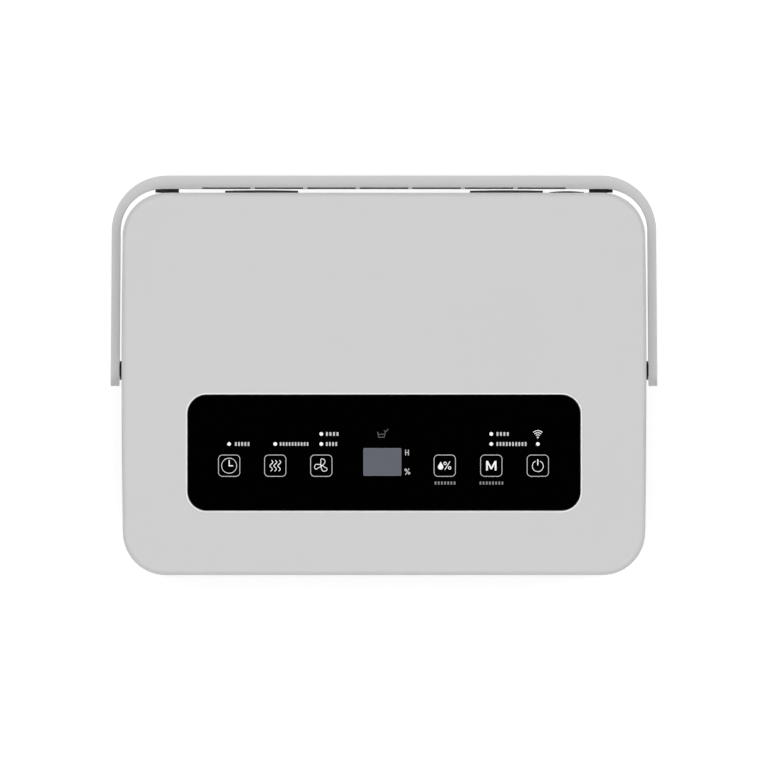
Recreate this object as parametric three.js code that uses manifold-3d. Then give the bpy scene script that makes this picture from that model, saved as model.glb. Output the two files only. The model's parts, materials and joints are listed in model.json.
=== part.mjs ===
// Portable compressor dehumidifier with a folding bail handle, a top touch panel,
// a front outlet flap, a slide-out front water tank and a rear inlet grille.
// Millimetres, +Z up, front towards -Y. Places are worked out in the cabinet's frame,
// whose X and Y start at the middle of the cabinet, and the whole group is then shifted
// so that the origin is under the middle of the box that holds cabinet and handle.
import * as THREE from "three";
import { mergeVertices } from "three/addons/utils/BufferGeometryUtils.js";
import Module from "manifold-3d";

const wasm = await Module();
wasm.setup();

// ---------------------------------------------------------------- driving dimensions
// cabinet
const bodyWidth = 351;
const bodyDepth = 255.8;
const bodyHeight = 500;
const cornerRadius = 29;
const sideBow = 0.8; // how far the side walls stand out at mid depth
const topFillet = 4;
const topThickness = 4;
const coverHeight = 14; // height of the top cover's rim
const wall = 2.5;
const gap = 0.3; // between pieces that touch
const slack = 0.6; // round pieces that move
const splitBehindMiddle = 40; // seam between the front and rear casings

// base and feet
const footHeight = 6;
const footRadius = 13;
const footInset = 42;
const baseHeight = 24;
const baseFloor = 3;

// control panel
const panelWidth = 262.5;
const panelDepth = 77.3;
const panelRadius = 12.7;
const panelThickness = 2;
const panelAhead = 45.9; // panel centre, ahead of the middle
const rimWidth = 0.8;
const displayWidth = 25;
const displayDepth = 19;
const displayAhead = 52.1;
const keyPlaces = [41.3, 72.2, 103.2]; // touch keys, each side of the middle
const keyAhead = 54.6;
const boardDrop = 11; // top face of the display board under the top of the cabinet
const boardThickness = 1.6;

// bail handle
const armThickness = 5.8;
const armHeight = 20.8;
const armGap = 1.6; // between an arm and the cabinet's side
const armTaper = 0.7; // an arm comes in this much towards the bar
const barThickness = 8.2;
const barGap = 3.4; // between the folded bar and the back of the cabinet
const handleCorner = 37;
const pivotBehind = 9; // pivot, behind the middle
const pivotDrop = 25; // pivot, under the top
const hubRadius = 6.4;
const pinRadius = 4;
const capRadius = 7;
const capThickness = 1.4;
const hubFlangeRadius = 7.6;
const channelPitch = 35.15;
const channelCells = 7;
const channelRib = 1.8;
const channelDepth = 5;
const channelHeight = 15;
const flangeSetback = 1.2; // the bar's upper flange ends short of its lower one
const restSpread = 145.3; // handle rests, each side of the middle
const restWidth = 15.8;
const restHeight = 12;

// front outlet
const outletWidth = 250;
const outletHeight = 50;
const outletDrop = 45; // upper edge of the outlet, under the top
const flapThickness = 2;
const flapBarrel = 3;
const flapPin = 1.8;
const lugWidth = 6;

// water tank
const tankWidth = 294;
const tankDepth = 110;
const tankHeight = 160;
const tankWall = 2.2;
const tankFrontHeight = 169;
const tankFrontReach = 21; // from the front face to the tank's own wall
const recessWidth = 100;
const recessHeight = 24;
const recessDepth = 15;
const lidThickness = 2.5;
const fillHole = 20;
const runnerSpread = 110;
const floatPinDrop = 21;
const floatPin = 1.5;

// rear inlet
const inletWidth = 250;
const inletBottom = 232;
const inletDrop = 55; // upper edge of the inlet, under the top
const grilleRows = 18;
const slotHeight = 4;
const frameDepth = 5.7;
const frameWidth = 3;
const gripSpread = 82.1;
const gripWidth = 49;
const gripProud = 1.3;
const gripHeight = 20;

// inside
const shelfHeight = 204; // underside of the shelf over the tank
const shelfThickness = 3;
const dividerBehind = 8; // front face of the wall behind the tank
const dividerThickness = 2.5;
const trayWidth = 240;
const trayFront = 44;
const trayBack = 116;
const trayDepth = 20.7;
const trayWall = 2.2;
const trayFloor = 2.5;
const gutterWidth = 24;
const spoutAhead = 40;
const spoutRadius = 6;
const coilWidth = 220;
const coilHeight = 220;
const coilThickness = 24;
const condenserFront = 50;
const evaporatorFront = 84;
const fanAxisHeight = 318;
const scrollRadius = 90;
const scrollFront = -32;
const scrollBack = 36;
const scrollMouth = 62; // radius of the scroll's inlet
const impellerRadius = 74;
const bladeCount = 18;
const motorRadius = 36;
const motorLength = 44;
const shaftRadius = 4;
const ductBehind = 38;
const compressorRadius = 50;
const compressorHeight = 145;
const compressorRight = 70;
const compressorBehind = 66;
const grommetHeight = 12.4;
const pipeRadius = 3.2;

// ---------------------------------------------------------------- derived places
const halfWidth = bodyWidth / 2;
const halfDepth = bodyDepth / 2;
const baseTop = footHeight + baseHeight;
const floorTop = footHeight + baseFloor;
const coverSeam = bodyHeight - coverHeight;
const pivotHeight = bodyHeight - pivotDrop;
const innerFront = -halfDepth + wall;
const innerBack = halfDepth - wall;
const armInside = halfWidth + armGap;
const armOutside = armInside + armThickness;
const barInside = halfDepth + barGap;
const barOutside = barInside + barThickness;
const shelfTop = shelfHeight + shelfThickness;
const outletTop = bodyHeight - outletDrop;
const outletBottom = outletTop - outletHeight;
const inletTop = bodyHeight - inletDrop;
const tankBottom = baseTop + 1;
const tankTop = tankBottom + tankHeight;
const tankFrontWall = -halfDepth + tankFrontReach;
const tankBack = tankFrontWall + tankDepth;

// ---------------------------------------------------------------- solids
// A closed geometry as a solid that can be joined and cut.
function solid(geometry) {
  const bare = geometry.index ? geometry.toNonIndexed() : geometry.clone();
  bare.deleteAttribute("normal");
  bare.deleteAttribute("uv");
  const merged = mergeVertices(bare, 1e-4);
  const corners = merged.index.array;
  const kept = [];
  for (let i = 0; i < corners.length; i += 3) {
    const [a, b, c] = corners.slice(i, i + 3);
    if (a !== b && b !== c && c !== a) kept.push(a, b, c);
  }
  return new wasm.Manifold(
    new wasm.Mesh({
      numProp: 3,
      vertProperties: merged.attributes.position.array,
      triVerts: new Uint32Array(kept),
    }),
  );
}

// A solid's surface as a geometry for a mesh.
function surface(shape) {
  const mesh = shape.getMesh();
  return new THREE.BufferGeometry()
    .setAttribute("position", new THREE.BufferAttribute(new Float32Array(mesh.vertProperties), 3))
    .setIndex(new THREE.BufferAttribute(new Uint32Array(mesh.triVerts), 1));
}

function block([x0, x1], [y0, y1], [z0, z1]) {
  const geometry = new THREE.BoxGeometry(x1 - x0, y1 - y0, z1 - z0);
  return solid(geometry.translate((x0 + x1) / 2, (y0 + y1) / 2, (z0 + z1) / 2));
}

// A round rod between two heights along an axis: "x", "y" or "z".
function rod(axis, radius, [from, to], [a, b], sides = 16) {
  const geometry = new THREE.CylinderGeometry(radius, radius, to - from, sides);
  const middle = (from + to) / 2;
  if (axis === "x") return solid(geometry.rotateZ(Math.PI / 2).translate(middle, a, b));
  if (axis === "y") return solid(geometry.translate(a, middle, b));
  return solid(geometry.rotateX(Math.PI / 2).translate(a, b, middle));
}

// A flat outline raised from one height to another.
function raise(outline, [z0, z1], arcs = 6) {
  const options = { depth: z1 - z0, bevelEnabled: false, curveSegments: arcs };
  return solid(new THREE.ExtrudeGeometry(outline, options).translate(0, 0, z0));
}

// A tube of round section along smooth points.
function tube(points, radius, steps, sides = 8) {
  const places = points.map((p) => new THREE.Vector3(...p));
  const path = new THREE.CatmullRomCurve3(places, false, "centripetal");
  const section = new THREE.Shape().absarc(0, 0, radius, 0, 2 * Math.PI);
  return solid(
    new THREE.ExtrudeGeometry(section, { extrudePath: path, steps, curveSegments: sides / 2 }),
  );
}

function join(...shapes) {
  return shapes.reduce((whole, next) => whole.add(next));
}

function cut(shape, ...tools) {
  return tools.reduce((left, tool) => left.subtract(tool), shape);
}

// ---------------------------------------------------------------- outlines
function roundedRectangle(width, depth, radius, centreY = 0) {
  const x = width / 2 - radius;
  const y = depth / 2 - radius;
  return new THREE.Shape()
    .absarc(x, centreY + y, radius, 0, Math.PI / 2)
    .absarc(-x, centreY + y, radius, Math.PI / 2, Math.PI)
    .absarc(-x, centreY - y, radius, Math.PI, 1.5 * Math.PI)
    .absarc(x, centreY - y, radius, 1.5 * Math.PI, 2 * Math.PI)
    .closePath();
}

// The cabinet's outline from above, brought in by an inset; its sides bow out a little.
function bodyOutline(inset) {
  const radius = cornerRadius - inset;
  const x = halfWidth - sideBow - cornerRadius;
  const y = halfDepth - cornerRadius;
  const side = x + radius;
  const bowed = side + 2 * sideBow;
  return new THREE.Shape()
    .moveTo(side, -y)
    .quadraticCurveTo(bowed, 0, side, y)
    .absarc(x, y, radius, 0, Math.PI / 2)
    .absarc(-x, y, radius, Math.PI / 2, Math.PI)
    .quadraticCurveTo(-bowed, 0, -side, -y)
    .absarc(-x, -y, radius, Math.PI, 1.5 * Math.PI)
    .absarc(x, -y, radius, 1.5 * Math.PI, 2 * Math.PI);
}

// A shallow bulge seen from above, standing on the line y = back.
function bulge(centreX, back, width, proud) {
  const radius = ((width / 2) ** 2 + proud ** 2) / (2 * proud);
  const half = Math.asin(width / 2 / radius);
  return new THREE.Shape()
    .moveTo(centreX + width / 2, back - wall / 2)
    .lineTo(centreX + width / 2, back)
    .absarc(centreX, back + proud - radius, radius, Math.PI / 2 - half, Math.PI / 2 + half)
    .lineTo(centreX - width / 2, back - wall / 2);
}

// ---------------------------------------------------------------- the assembly
const object = new THREE.Group();
object.position.y = (halfDepth - barOutside) / 2;

const finishes = {
  shell: { color: 0xd0d0d0, roughness: 0.45, metalness: 0 },
  shade: { color: 0x4a4a4a, roughness: 0.6, metalness: 0 },
  black: { color: 0x0c0c0c, roughness: 0.15, metalness: 0 },
  rim: { color: 0xf0f0f0, roughness: 0.25, metalness: 0 },
  rubber: { color: 0x2a2a2a, roughness: 0.85, metalness: 0 },
  smoke: { color: 0x9fb0b8, roughness: 0.3, metalness: 0 },
  inner: { color: 0xb8bcc0, roughness: 0.6, metalness: 0 },
  steel: { color: 0x9a9ea2, roughness: 0.4, metalness: 1 },
  paint: { color: 0x16181a, roughness: 0.5, metalness: 0.2 },
  fins: { color: 0xc4c8cc, roughness: 0.45, metalness: 0.9 },
  copper: { color: 0xb8724a, roughness: 0.35, metalness: 1 },
  board: { color: 0x1f5c34, roughness: 0.5, metalness: 0 },
  mesh: { color: 0x3a3d40, roughness: 0.8, metalness: 0 },
};

function add(name, finish, shape) {
  const mesh = new THREE.Mesh(surface(shape), new THREE.MeshStandardMaterial(finishes[finish]));
  mesh.name = name;
  object.add(mesh);
}

const sides = { left: -1, right: 1 };

// ---------------------------------------------------------------- base and feet
const footPlaces = {
  front_left: [-1, -1],
  front_right: [1, -1],
  rear_left: [-1, 1],
  rear_right: [1, 1],
};
const footX = halfWidth - footInset;
const footY = halfDepth - footInset;
const studRadius = 5;

function baseTray() {
  const shell = cut(
    raise(bodyOutline(0), [footHeight, baseTop]),
    raise(bodyOutline(wall), [floorTop, baseTop + 1]),
  );
  const runners = [-1, 1].map((side) =>
    block(
      [side * runnerSpread - 4, side * runnerSpread + 4],
      [innerFront + gap, dividerBehind - 2],
      [floorTop - 1, tankBottom - gap],
    ),
  );
  const holes = Object.values(footPlaces).map(([sx, sy]) =>
    rod("z", studRadius + gap, [0, floorTop + 1], [sx * footX, sy * footY]),
  );
  return cut(join(shell, ...runners), ...holes);
}
add("base_tray", "shade", baseTray());

for (const [place, [sx, sy]] of Object.entries(footPlaces)) {
  const at = [sx * footX, sy * footY];
  const pad = rod("z", footRadius, [0, footHeight - gap], at, 20);
  const stud = rod("z", studRadius, [footHeight - 1, floorTop + 1.5], at);
  add("foot_" + place, "rubber", join(pad, stud));
}

// ---------------------------------------------------------------- casings
const screwX = 138;
const screwHeights = { lower: baseTop + 15, upper: bodyHeight - 75 };
const headRadius = 4;
const shankRadius = 1.8;
const headDepth = 2.2;
const crossReach = 2.6;
const crossHalf = 0.6;
const crossDepth = 1.2;
const bossDepth = 6;
const glandX = 125.4;
const glandHeight = 70;
const glandNeck = 8;
const glandBore = 3.6;
const drainX = -100;
const drainHeight = shelfTop + 9;
const drainHole = 8;
const flapAxisY = -halfDepth + flapBarrel;
const flapAxisZ = outletBottom + slack + flapBarrel;
const flapMotorX = outletWidth / 2 + lugWidth + 2;

function casing() {
  return cut(
    raise(bodyOutline(0), [baseTop + gap, coverSeam - gap]),
    raise(bodyOutline(wall), [baseTop, coverSeam]),
  );
}

function frontCasing() {
  const flapLugs = [-1, 1].map((side) => {
    const inner = outletWidth / 2 + 1;
    const span = [side * inner, side * (inner + lugWidth)].sort((a, b) => a - b);
    return block(span, [innerFront - 1, innerFront + 5], [outletBottom - 1, outletBottom + 10]);
  });
  const openings = [
    block([-outletWidth / 2, outletWidth / 2], [-halfDepth - 1, innerFront + 1], [outletBottom, outletTop]),
    block(
      [-tankWidth / 2 - 4, tankWidth / 2 + 4],
      [-halfDepth - 1, innerFront + 1],
      [baseTop, baseTop + tankFrontHeight + 2 * gap],
    ),
    rod("x", hubRadius + gap, [-halfWidth - 1, halfWidth + 1], [pivotBehind, pivotHeight]),
    rod("x", flapPin + gap, [-flapMotorX - 5, flapMotorX + 5], [flapAxisY, flapAxisZ], 12),
    block([-bodyWidth, bodyWidth], [splitBehindMiddle, bodyDepth], [0, bodyHeight]),
  ];
  return cut(join(casing(), ...flapLugs), ...openings);
}
add("front_casing", "shell", frontCasing());

function rearCasing() {
  const places = [];
  for (const side of [-1, 1])
    for (const height of Object.values(screwHeights)) places.push([side * screwX, height]);
  const bosses = places.map((at) => rod("y", headRadius + 3, [innerBack - bossDepth, innerBack + 1], at));
  const recesses = places.map((at) =>
    rod("y", headRadius + gap, [halfDepth - headDepth - 2 * gap, halfDepth + 1], at),
  );
  const bores = places.map((at) => rod("y", shankRadius + gap, [innerBack - 10, halfDepth], at, 8));
  const restHoles = [-1, 1].map((side) =>
    block(
      [side * restSpread - 4 - gap, side * restSpread + 4 + gap],
      [innerBack - 3, halfDepth + 1],
      [restStemHeight - 4 - gap, restStemHeight + 4 + gap],
    ),
  );
  return cut(
    join(casing(), ...bosses),
    ...recesses,
    ...bores,
    ...restHoles,
    block([-inletWidth / 2, inletWidth / 2], [innerBack - 1, halfDepth + 1], [inletBottom, inletTop]),
    rod("y", glandNeck + gap, [innerBack - 1, halfDepth + 1], [glandX, glandHeight]),
    rod("y", drainHole, [innerBack - 1, halfDepth + 1], [drainX, drainHeight]),
    block([-bodyWidth, bodyWidth], [-bodyDepth, splitBehindMiddle + gap], [0, bodyHeight]),
  );
}
const restTop = pivotHeight - armHeight / 2 - gap;
const restStemHeight = restTop - restHeight / 2;
add("rear_casing", "shell", rearCasing());

for (const [sideName, side] of Object.entries(sides))
  for (const [level, height] of Object.entries(screwHeights)) {
    const at = [side * screwX, height];
    const head = rod("y", headRadius, [halfDepth - headDepth - gap, halfDepth - gap], at);
    const shank = rod("y", shankRadius, [innerBack - bossDepth - 8, halfDepth - headDepth], at, 8);
    const cross = [
      [crossReach, crossHalf],
      [crossHalf, crossReach],
    ].map(([across, up]) =>
      block(
        [at[0] - across, at[0] + across],
        [halfDepth - crossDepth, halfDepth],
        [height - up, height + up],
      ),
    );
    add("casing_screw_" + level + "_" + sideName, "steel", cut(join(head, shank), ...cross));
  }

// ---------------------------------------------------------------- top cover and panel
const panelFloor = bodyHeight - panelThickness - 2 * gap;
const boardTop = bodyHeight - boardDrop;
const boardWidth = panelWidth - 22;
const boardDepth = panelDepth - 16;
const pegX = boardWidth / 2 - 8;
const pegY = boardDepth / 2 - 8;

function topCover() {
  const rounded = new THREE.ExtrudeGeometry(bodyOutline(topFillet), {
    depth: coverHeight,
    bevelThickness: topFillet,
    bevelSize: topFillet,
    bevelSegments: 3,
    curveSegments: 6,
  }).translate(0, 0, bodyHeight - topFillet - coverHeight);
  const under = block([-bodyWidth, bodyWidth], [-bodyDepth, bodyDepth], [0, coverSeam]);
  const hollow = raise(bodyOutline(wall), [0, bodyHeight - topThickness]);
  const lip = cut(
    raise(bodyOutline(wall + gap), [coverSeam - 3, bodyHeight - topThickness + 1]),
    raise(bodyOutline(wall + gap + 2), [coverSeam - 4, bodyHeight - topThickness]),
  );
  const pegs = [];
  for (const sx of [-1, 1])
    for (const sy of [-1, 1])
      pegs.push(
        rod("z", 3, [boardTop + gap, bodyHeight - topThickness + 1], [sx * pegX, sy * pegY - panelAhead], 16),
      );
  const recess = roundedRectangle(
    panelWidth + 2 * (rimWidth + 2 * gap),
    panelDepth + 2 * (rimWidth + 2 * gap),
    panelRadius + rimWidth + 2 * gap,
    -panelAhead,
  );
  const window = block(
    [-displayWidth / 2 - slack, displayWidth / 2 + slack],
    [-displayAhead - displayDepth / 2 - slack, -displayAhead + displayDepth / 2 + slack],
    [bodyHeight - topThickness - 2, bodyHeight],
  );
  const cover = join(cut(solid(rounded), under, hollow), lip, ...pegs);
  return cut(cover, raise(recess, [panelFloor, bodyHeight + 1]), window);
}
add("top_cover", "shell", topCover());

function ring(width, depth, radius, thickness, heights, centreY) {
  return cut(
    raise(roundedRectangle(width, depth, radius, centreY), heights),
    raise(
      roundedRectangle(width - 2 * thickness, depth - 2 * thickness, radius - thickness, centreY),
      [heights[0] - 1, heights[1] + 1],
    ),
  );
}

add(
  "panel_glass",
  "black",
  raise(roundedRectangle(panelWidth, panelDepth, panelRadius, -panelAhead), [
    panelFloor + gap,
    bodyHeight - gap,
  ]),
);
add(
  "panel_rim",
  "rim",
  ring(
    panelWidth + 2 * (rimWidth + gap),
    panelDepth + 2 * (rimWidth + gap),
    panelRadius + rimWidth + gap,
    rimWidth,
    [panelFloor + gap, bodyHeight],
    -panelAhead,
  ),
);
const keySpringHeight = 6;
function displayBoard() {
  const sheet = block(
    [-boardWidth / 2, boardWidth / 2],
    [-panelAhead - boardDepth / 2, -panelAhead + boardDepth / 2],
    [boardTop - boardThickness, boardTop],
  );
  const keySprings = keyPlaces
    .flatMap((x) => [-x, x])
    .map((x) => rod("z", 5, [boardTop - 0.5, boardTop + keySpringHeight], [x, -keyAhead], 10));
  return join(sheet, ...keySprings);
}
add("display_board", "board", displayBoard());
add(
  "display_module",
  "inner",
  block(
    [-displayWidth / 2, displayWidth / 2],
    [-displayAhead - displayDepth / 2, -displayAhead + displayDepth / 2],
    [boardTop + gap, panelFloor - gap],
  ),
);

// ---------------------------------------------------------------- bail handle
function bail() {
  const inner = handleCorner - barThickness;
  const rear = barOutside - handleCorner;
  const armEnd = pivotBehind - armHeight / 2;
  const outX = armOutside - armTaper;
  const inX = armInside - armTaper;
  const plan = new THREE.Shape()
    .moveTo(armOutside, armEnd)
    .lineTo(outX, rear)
    .absarc(outX - handleCorner, rear, handleCorner, 0, Math.PI / 2)
    .absarc(-outX + handleCorner, rear, handleCorner, Math.PI / 2, Math.PI)
    .lineTo(-armOutside, armEnd)
    .lineTo(-armInside, armEnd)
    .lineTo(-inX, rear)
    .absarc(-inX + inner, rear, inner, Math.PI, Math.PI / 2, true)
    .absarc(inX - inner, rear, inner, Math.PI / 2, 0, true)
    .lineTo(armInside, armEnd);
  const loop = raise(plan, [pivotHeight - armHeight / 2, pivotHeight + armHeight / 2], 8);
  const rounded = join(
    rod("x", armHeight / 2, [-bodyWidth, bodyWidth], [pivotBehind, pivotHeight], 28),
    block(
      [-bodyWidth, bodyWidth],
      [pivotBehind, bodyDepth],
      [pivotHeight - armHeight / 2, pivotHeight + armHeight / 2],
    ),
  );
  const cells = [];
  for (let i = 0; i < channelCells; i++) {
    const middle = (i - (channelCells - 1) / 2) * channelPitch;
    const half = (channelPitch - channelRib) / 2;
    cells.push(
      block(
        [middle - half, middle + half],
        [barInside - 1, barInside + channelDepth],
        [pivotHeight - channelHeight / 2, pivotHeight + channelHeight / 2],
      ),
    );
  }
  const bore = rod("x", pinRadius + gap, [-bodyWidth, bodyWidth], [pivotBehind, pivotHeight]);
  const caps = [-1, 1].map((side) =>
    rod(
      "x",
      capRadius + gap,
      [side * (armOutside - capThickness - 2 * gap), side * (armOutside + 1)].sort((a, b) => a - b),
      [pivotBehind, pivotHeight],
      20,
    ),
  );
  const spread = (channelCells * channelPitch - channelRib) / 2;
  const setback = block(
    [-spread, spread],
    [barInside - 1, barInside + flangeSetback],
    [pivotHeight + channelHeight / 2 - 1, pivotHeight + armHeight],
  );
  return cut(loop.intersect(rounded), ...cells, setback, bore, ...caps);
}
add("handle_bail", "shell", bail());

for (const [sideName, side] of Object.entries(sides)) {
  const along = (from, to) => [side * from, side * to].sort((a, b) => a - b);
  const at = [pivotBehind, pivotHeight];
  const hub = join(
    rod("x", hubFlangeRadius, along(halfWidth - wall - 4 - gap, halfWidth - wall - gap), at, 20),
    rod("x", hubRadius, along(halfWidth - wall - 2, armInside - gap), at, 20),
    rod("x", pinRadius, along(armInside - 1, armOutside - capThickness - 2 * gap), at),
  );
  add("pivot_hub_" + sideName, "rubber", hub);
  const cap = rod("x", capRadius, along(armOutside - capThickness - gap, armOutside), at, 20);
  add("pivot_cap_" + sideName, "shade", cap);
  const rest = join(
    block(
      [side * restSpread - restWidth / 2, side * restSpread + restWidth / 2],
      [halfDepth + gap, barOutside - 2],
      [restTop - restHeight, restTop],
    ),
    block(
      [side * restSpread - 4, side * restSpread + 4],
      [innerBack - 2, halfDepth + 1],
      [restStemHeight - 4, restStemHeight + 4],
    ),
  );
  add("handle_rest_" + sideName, "rubber", rest);
}

// ---------------------------------------------------------------- front outlet
const flapHalf = outletWidth / 2 - slack;

function outletFlap() {
  const barrel = rod("x", flapBarrel, [-flapHalf, flapHalf], [flapAxisY, flapAxisZ], 16);
  const plate = block(
    [-flapHalf, flapHalf],
    [-halfDepth, -halfDepth + flapThickness],
    [flapAxisZ, outletTop - slack],
  );
  const pin = rod(
    "x",
    flapPin,
    [-outletWidth / 2 - lugWidth, flapMotorX + 4],
    [flapAxisY, flapAxisZ],
    12,
  );
  return join(barrel, plate, pin);
}
add("outlet_flap", "shell", outletFlap());

const motorCase = cut(
  block([flapMotorX, flapMotorX + 14], [innerFront + gap, innerFront + 22], [flapAxisZ - 11, flapAxisZ + 11]),
  rod("x", flapPin + gap, [flapMotorX - 1, flapMotorX + 5], [flapAxisY, flapAxisZ], 12),
);
add("flap_motor", "inner", motorCase);

const ductHalf = outletWidth / 2 - 5;
const ductFront = flapAxisY + flapBarrel + 1;
const ductBottom = fanAxisHeight + scrollRadius + gap;
const throat = [-scrollRadius, -5];

function outletDuct() {
  const shell = cut(
    block([-ductHalf, ductHalf], [ductFront, ductBehind], [ductBottom, outletTop + 3]),
    block([-ductHalf + 2, ductHalf - 2], [ductFront - 1, ductBehind - 2], [ductBottom + 2, outletTop + 1]),
    block(
      [throat[0] + tankWall, throat[1] - tankWall],
      [scrollFront + tankWall, scrollBack - tankWall],
      [ductBottom - 1, ductBottom + 3],
    ),
  );
  const vanes = [-80, -40, 0, 40, 80].map((x) =>
    block([x - 1, x + 1], [ductFront + 4, ductFront + 26], [ductBottom + 1, outletTop + 2]),
  );
  return join(shell, ...vanes);
}
add("outlet_duct", "shade", outletDuct());

// ---------------------------------------------------------------- water tank
function waterTank() {
  const half = tankWidth / 2;
  const shell = cut(
    block([-half, half], [tankFrontWall, tankBack], [tankBottom, tankTop]),
    block(
      [-half + tankWall, half - tankWall],
      [tankFrontWall + tankWall, tankBack - tankWall],
      [tankBottom + tankWall, tankTop + 1],
    ),
  );
  const lugs = floatLugs.map((x) =>
    block([x - 2, x + 2], [tankBack - 16, tankBack - 1], [floatAxisZ - 5, floatAxisZ + 5]),
  );
  const bore = rod(
    "x",
    floatPin + gap,
    [floatLugs[0] - 3, floatLugs[1] + 3],
    [floatAxisY, floatAxisZ],
    12,
  );
  return cut(join(shell, ...lugs), bore);
}
const floatLugs = [62, 108];
const floatAxisY = tankBack - 11;
const floatAxisZ = tankTop - floatPinDrop;
add("water_tank", "smoke", waterTank());

function tankFront() {
  const half = tankWidth / 2 + 4 - gap;
  const low = baseTop + 2 * gap;
  const top = baseTop + tankFrontHeight;
  const recessTop = top - 14;
  const recessBack = -halfDepth + recessDepth;
  const skin = block([-half, half], [-halfDepth, -halfDepth + wall], [low, top]);
  const cup = block(
    [-recessWidth / 2 - wall, recessWidth / 2 + wall],
    [-halfDepth + 1, tankFrontWall - gap],
    [recessTop - recessHeight - wall, recessTop + wall],
  );
  const pocket = block(
    [-recessWidth / 2, recessWidth / 2],
    [-halfDepth - 1, recessBack],
    [recessTop - recessHeight, recessTop],
  );
  const webs = [-1, 1].map((side) =>
    block(
      [side * 100 - 1.5, side * 100 + 1.5],
      [-halfDepth + 1, tankFrontWall - gap],
      [low + 8, top - 20],
    ),
  );
  return cut(join(skin, cup, ...webs), pocket);
}
add("tank_front", "shell", tankFront());

const lidLow = tankTop + gap;
add(
  "tank_lid",
  "shade",
  cut(
    block([-tankWidth / 2, tankWidth / 2], [tankFrontWall, tankBack], [lidLow, lidLow + lidThickness]),
    rod("z", fillHole, [lidLow - 1, lidLow + lidThickness + 1], [0, -spoutAhead], 32),
  ),
);

function tankFloat() {
  const [left, right] = floatLugs;
  const pin = rod("x", floatPin, [left - 3, right + 3], [floatAxisY, floatAxisZ], 12);
  const arm = block(
    [left + 6, right - 6],
    [floatAxisY - 20, floatAxisY + 1],
    [floatAxisZ - 4, floatAxisZ - 0.5],
  );
  const foam = block(
    [left + 5, right - 5],
    [floatAxisY - 55, floatAxisY - 16],
    [floatAxisZ - 30, floatAxisZ - 2],
  );
  return join(pin, arm, foam);
}
add("tank_float", "rim", tankFloat());

// ---------------------------------------------------------------- rear inlet
function inletGrille() {
  const half = inletWidth / 2 - gap;
  const low = inletBottom + gap;
  const top = inletTop - gap;
  const plate = block([-half, half], [innerBack, halfDepth], [low, top]);
  const frame = cut(
    block([-half + 1, half - 1], [innerBack - frameDepth, innerBack + 1], [low + 1, top - 1]),
    block(
      [-half + 1 + frameWidth, half - 1 - frameWidth],
      [innerBack - frameDepth - 1, innerBack],
      [low + 1 + frameWidth, top - 1 - frameWidth],
    ),
  );
  const grips = [-1, 1].map((side) =>
    raise(bulge(side * gripSpread, halfDepth, gripWidth, gripProud), [top - gripHeight - 2, top - 2], 8),
  );
  const slots = [];
  const first = low + 16;
  const pitch = (top - gripHeight - 10 - first) / (grilleRows - 1);
  for (let row = 0; row < grilleRows; row++)
    for (const side of [-1, 1]) {
      const span = [side * 5, side * (half - 12)].sort((a, b) => a - b);
      const z = first + row * pitch;
      slots.push(block(span, [innerBack - 1, halfDepth + 1], [z - slotHeight / 2, z + slotHeight / 2]));
    }
  return cut(join(plate, frame, ...grips), ...slots);
}
add("inlet_grille", "shade", inletGrille());

function airFilter() {
  const half = inletWidth / 2 - gap - 1 - frameWidth - gap;
  const low = inletBottom + 1 + frameWidth + 2 * gap;
  const top = inletTop - 1 - frameWidth - 2 * gap;
  const back = innerBack - gap;
  const frame = block([-half, half], [back - 4, back], [low, top]);
  const columns = 3;
  const rows = 3;
  const cells = [];
  const cellWidth = (2 * half - 8) / columns;
  const cellHeight = (top - low - 8) / rows;
  for (let i = 0; i < columns; i++)
    for (let j = 0; j < rows; j++) {
      const x = -half + 4 + i * cellWidth;
      const z = low + 4 + j * cellHeight;
      cells.push(block([x + 2, x + cellWidth - 2], [back - 1.6, back + 1], [z + 2, z + cellHeight - 2]));
    }
  return cut(frame, ...cells);
}
add("air_filter", "mesh", airFilter());

function cordGland() {
  const radius = 12;
  const rim = 3.8;
  const crown = 0.8;
  const profile = [
    [0, -wall - 4],
    [glandNeck, -wall - 4],
    [glandNeck, gap],
    [radius, gap],
    [radius, rim],
    [radius * 0.7, rim + crown * 0.5],
    [radius * 0.35, rim + crown * 0.88],
    [0, rim + crown],
  ].map(([across, along]) => new THREE.Vector2(across, along));
  const button = solid(new THREE.LatheGeometry(profile, 24).translate(glandX, halfDepth, glandHeight));
  return cut(button, rod("y", glandBore, [innerBack - 8, halfDepth + rim + 2], [glandX, glandHeight]));
}
add("cord_gland", "rubber", cordGland());

const nozzleRadius = 6;
add(
  "drain_plug",
  "rubber",
  join(
    rod("y", drainHole - gap, [innerBack + gap, halfDepth - gap], [drainX, drainHeight]),
    rod("y", nozzleRadius - 2.4, [trayBack + 1, innerBack + 1], [drainX, drainHeight], 16),
  ),
);

add(
  "humidity_sensor",
  "board",
  join(
    block([-146, -132], [innerBack - 3, innerBack - gap], [300, 330]),
    block([-143, -135], [innerBack - 8, innerBack - 2], [310, 322]),
  ),
);

// ---------------------------------------------------------------- shelf and drip tray
function midFrame() {
  const shelf = raise(bodyOutline(wall + gap), [shelfHeight, shelfTop]);
  const half = halfWidth - wall - 2 * sideBow;
  const divider = block(
    [-half, half],
    [dividerBehind, dividerBehind + dividerThickness],
    [floorTop + gap, shelfHeight + 1],
  );
  const pegs = boardPegs.map(([x, z]) =>
    rod("y", 3, [dividerBehind + 1, mainBoardFront - gap], [x, z], 16),
  );
  return cut(
    join(shelf, divider, ...pegs),
    rod("z", spoutRadius + 2, [shelfHeight - 1, shelfTop + 1], [0, -spoutAhead]),
    block([126, 160], [50, 106], [shelfHeight - 1, shelfTop + 1]),
  );
}
const mainBoardFront = dividerBehind + dividerThickness + 6;
const mainBoard = { x: [-140, -30], z: [50, 160] };
const boardPegs = [];
for (const x of [mainBoard.x[0] + 6, mainBoard.x[1] - 6])
  for (const z of [mainBoard.z[0] + 6, mainBoard.z[1] - 6]) boardPegs.push([x, z]);
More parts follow.
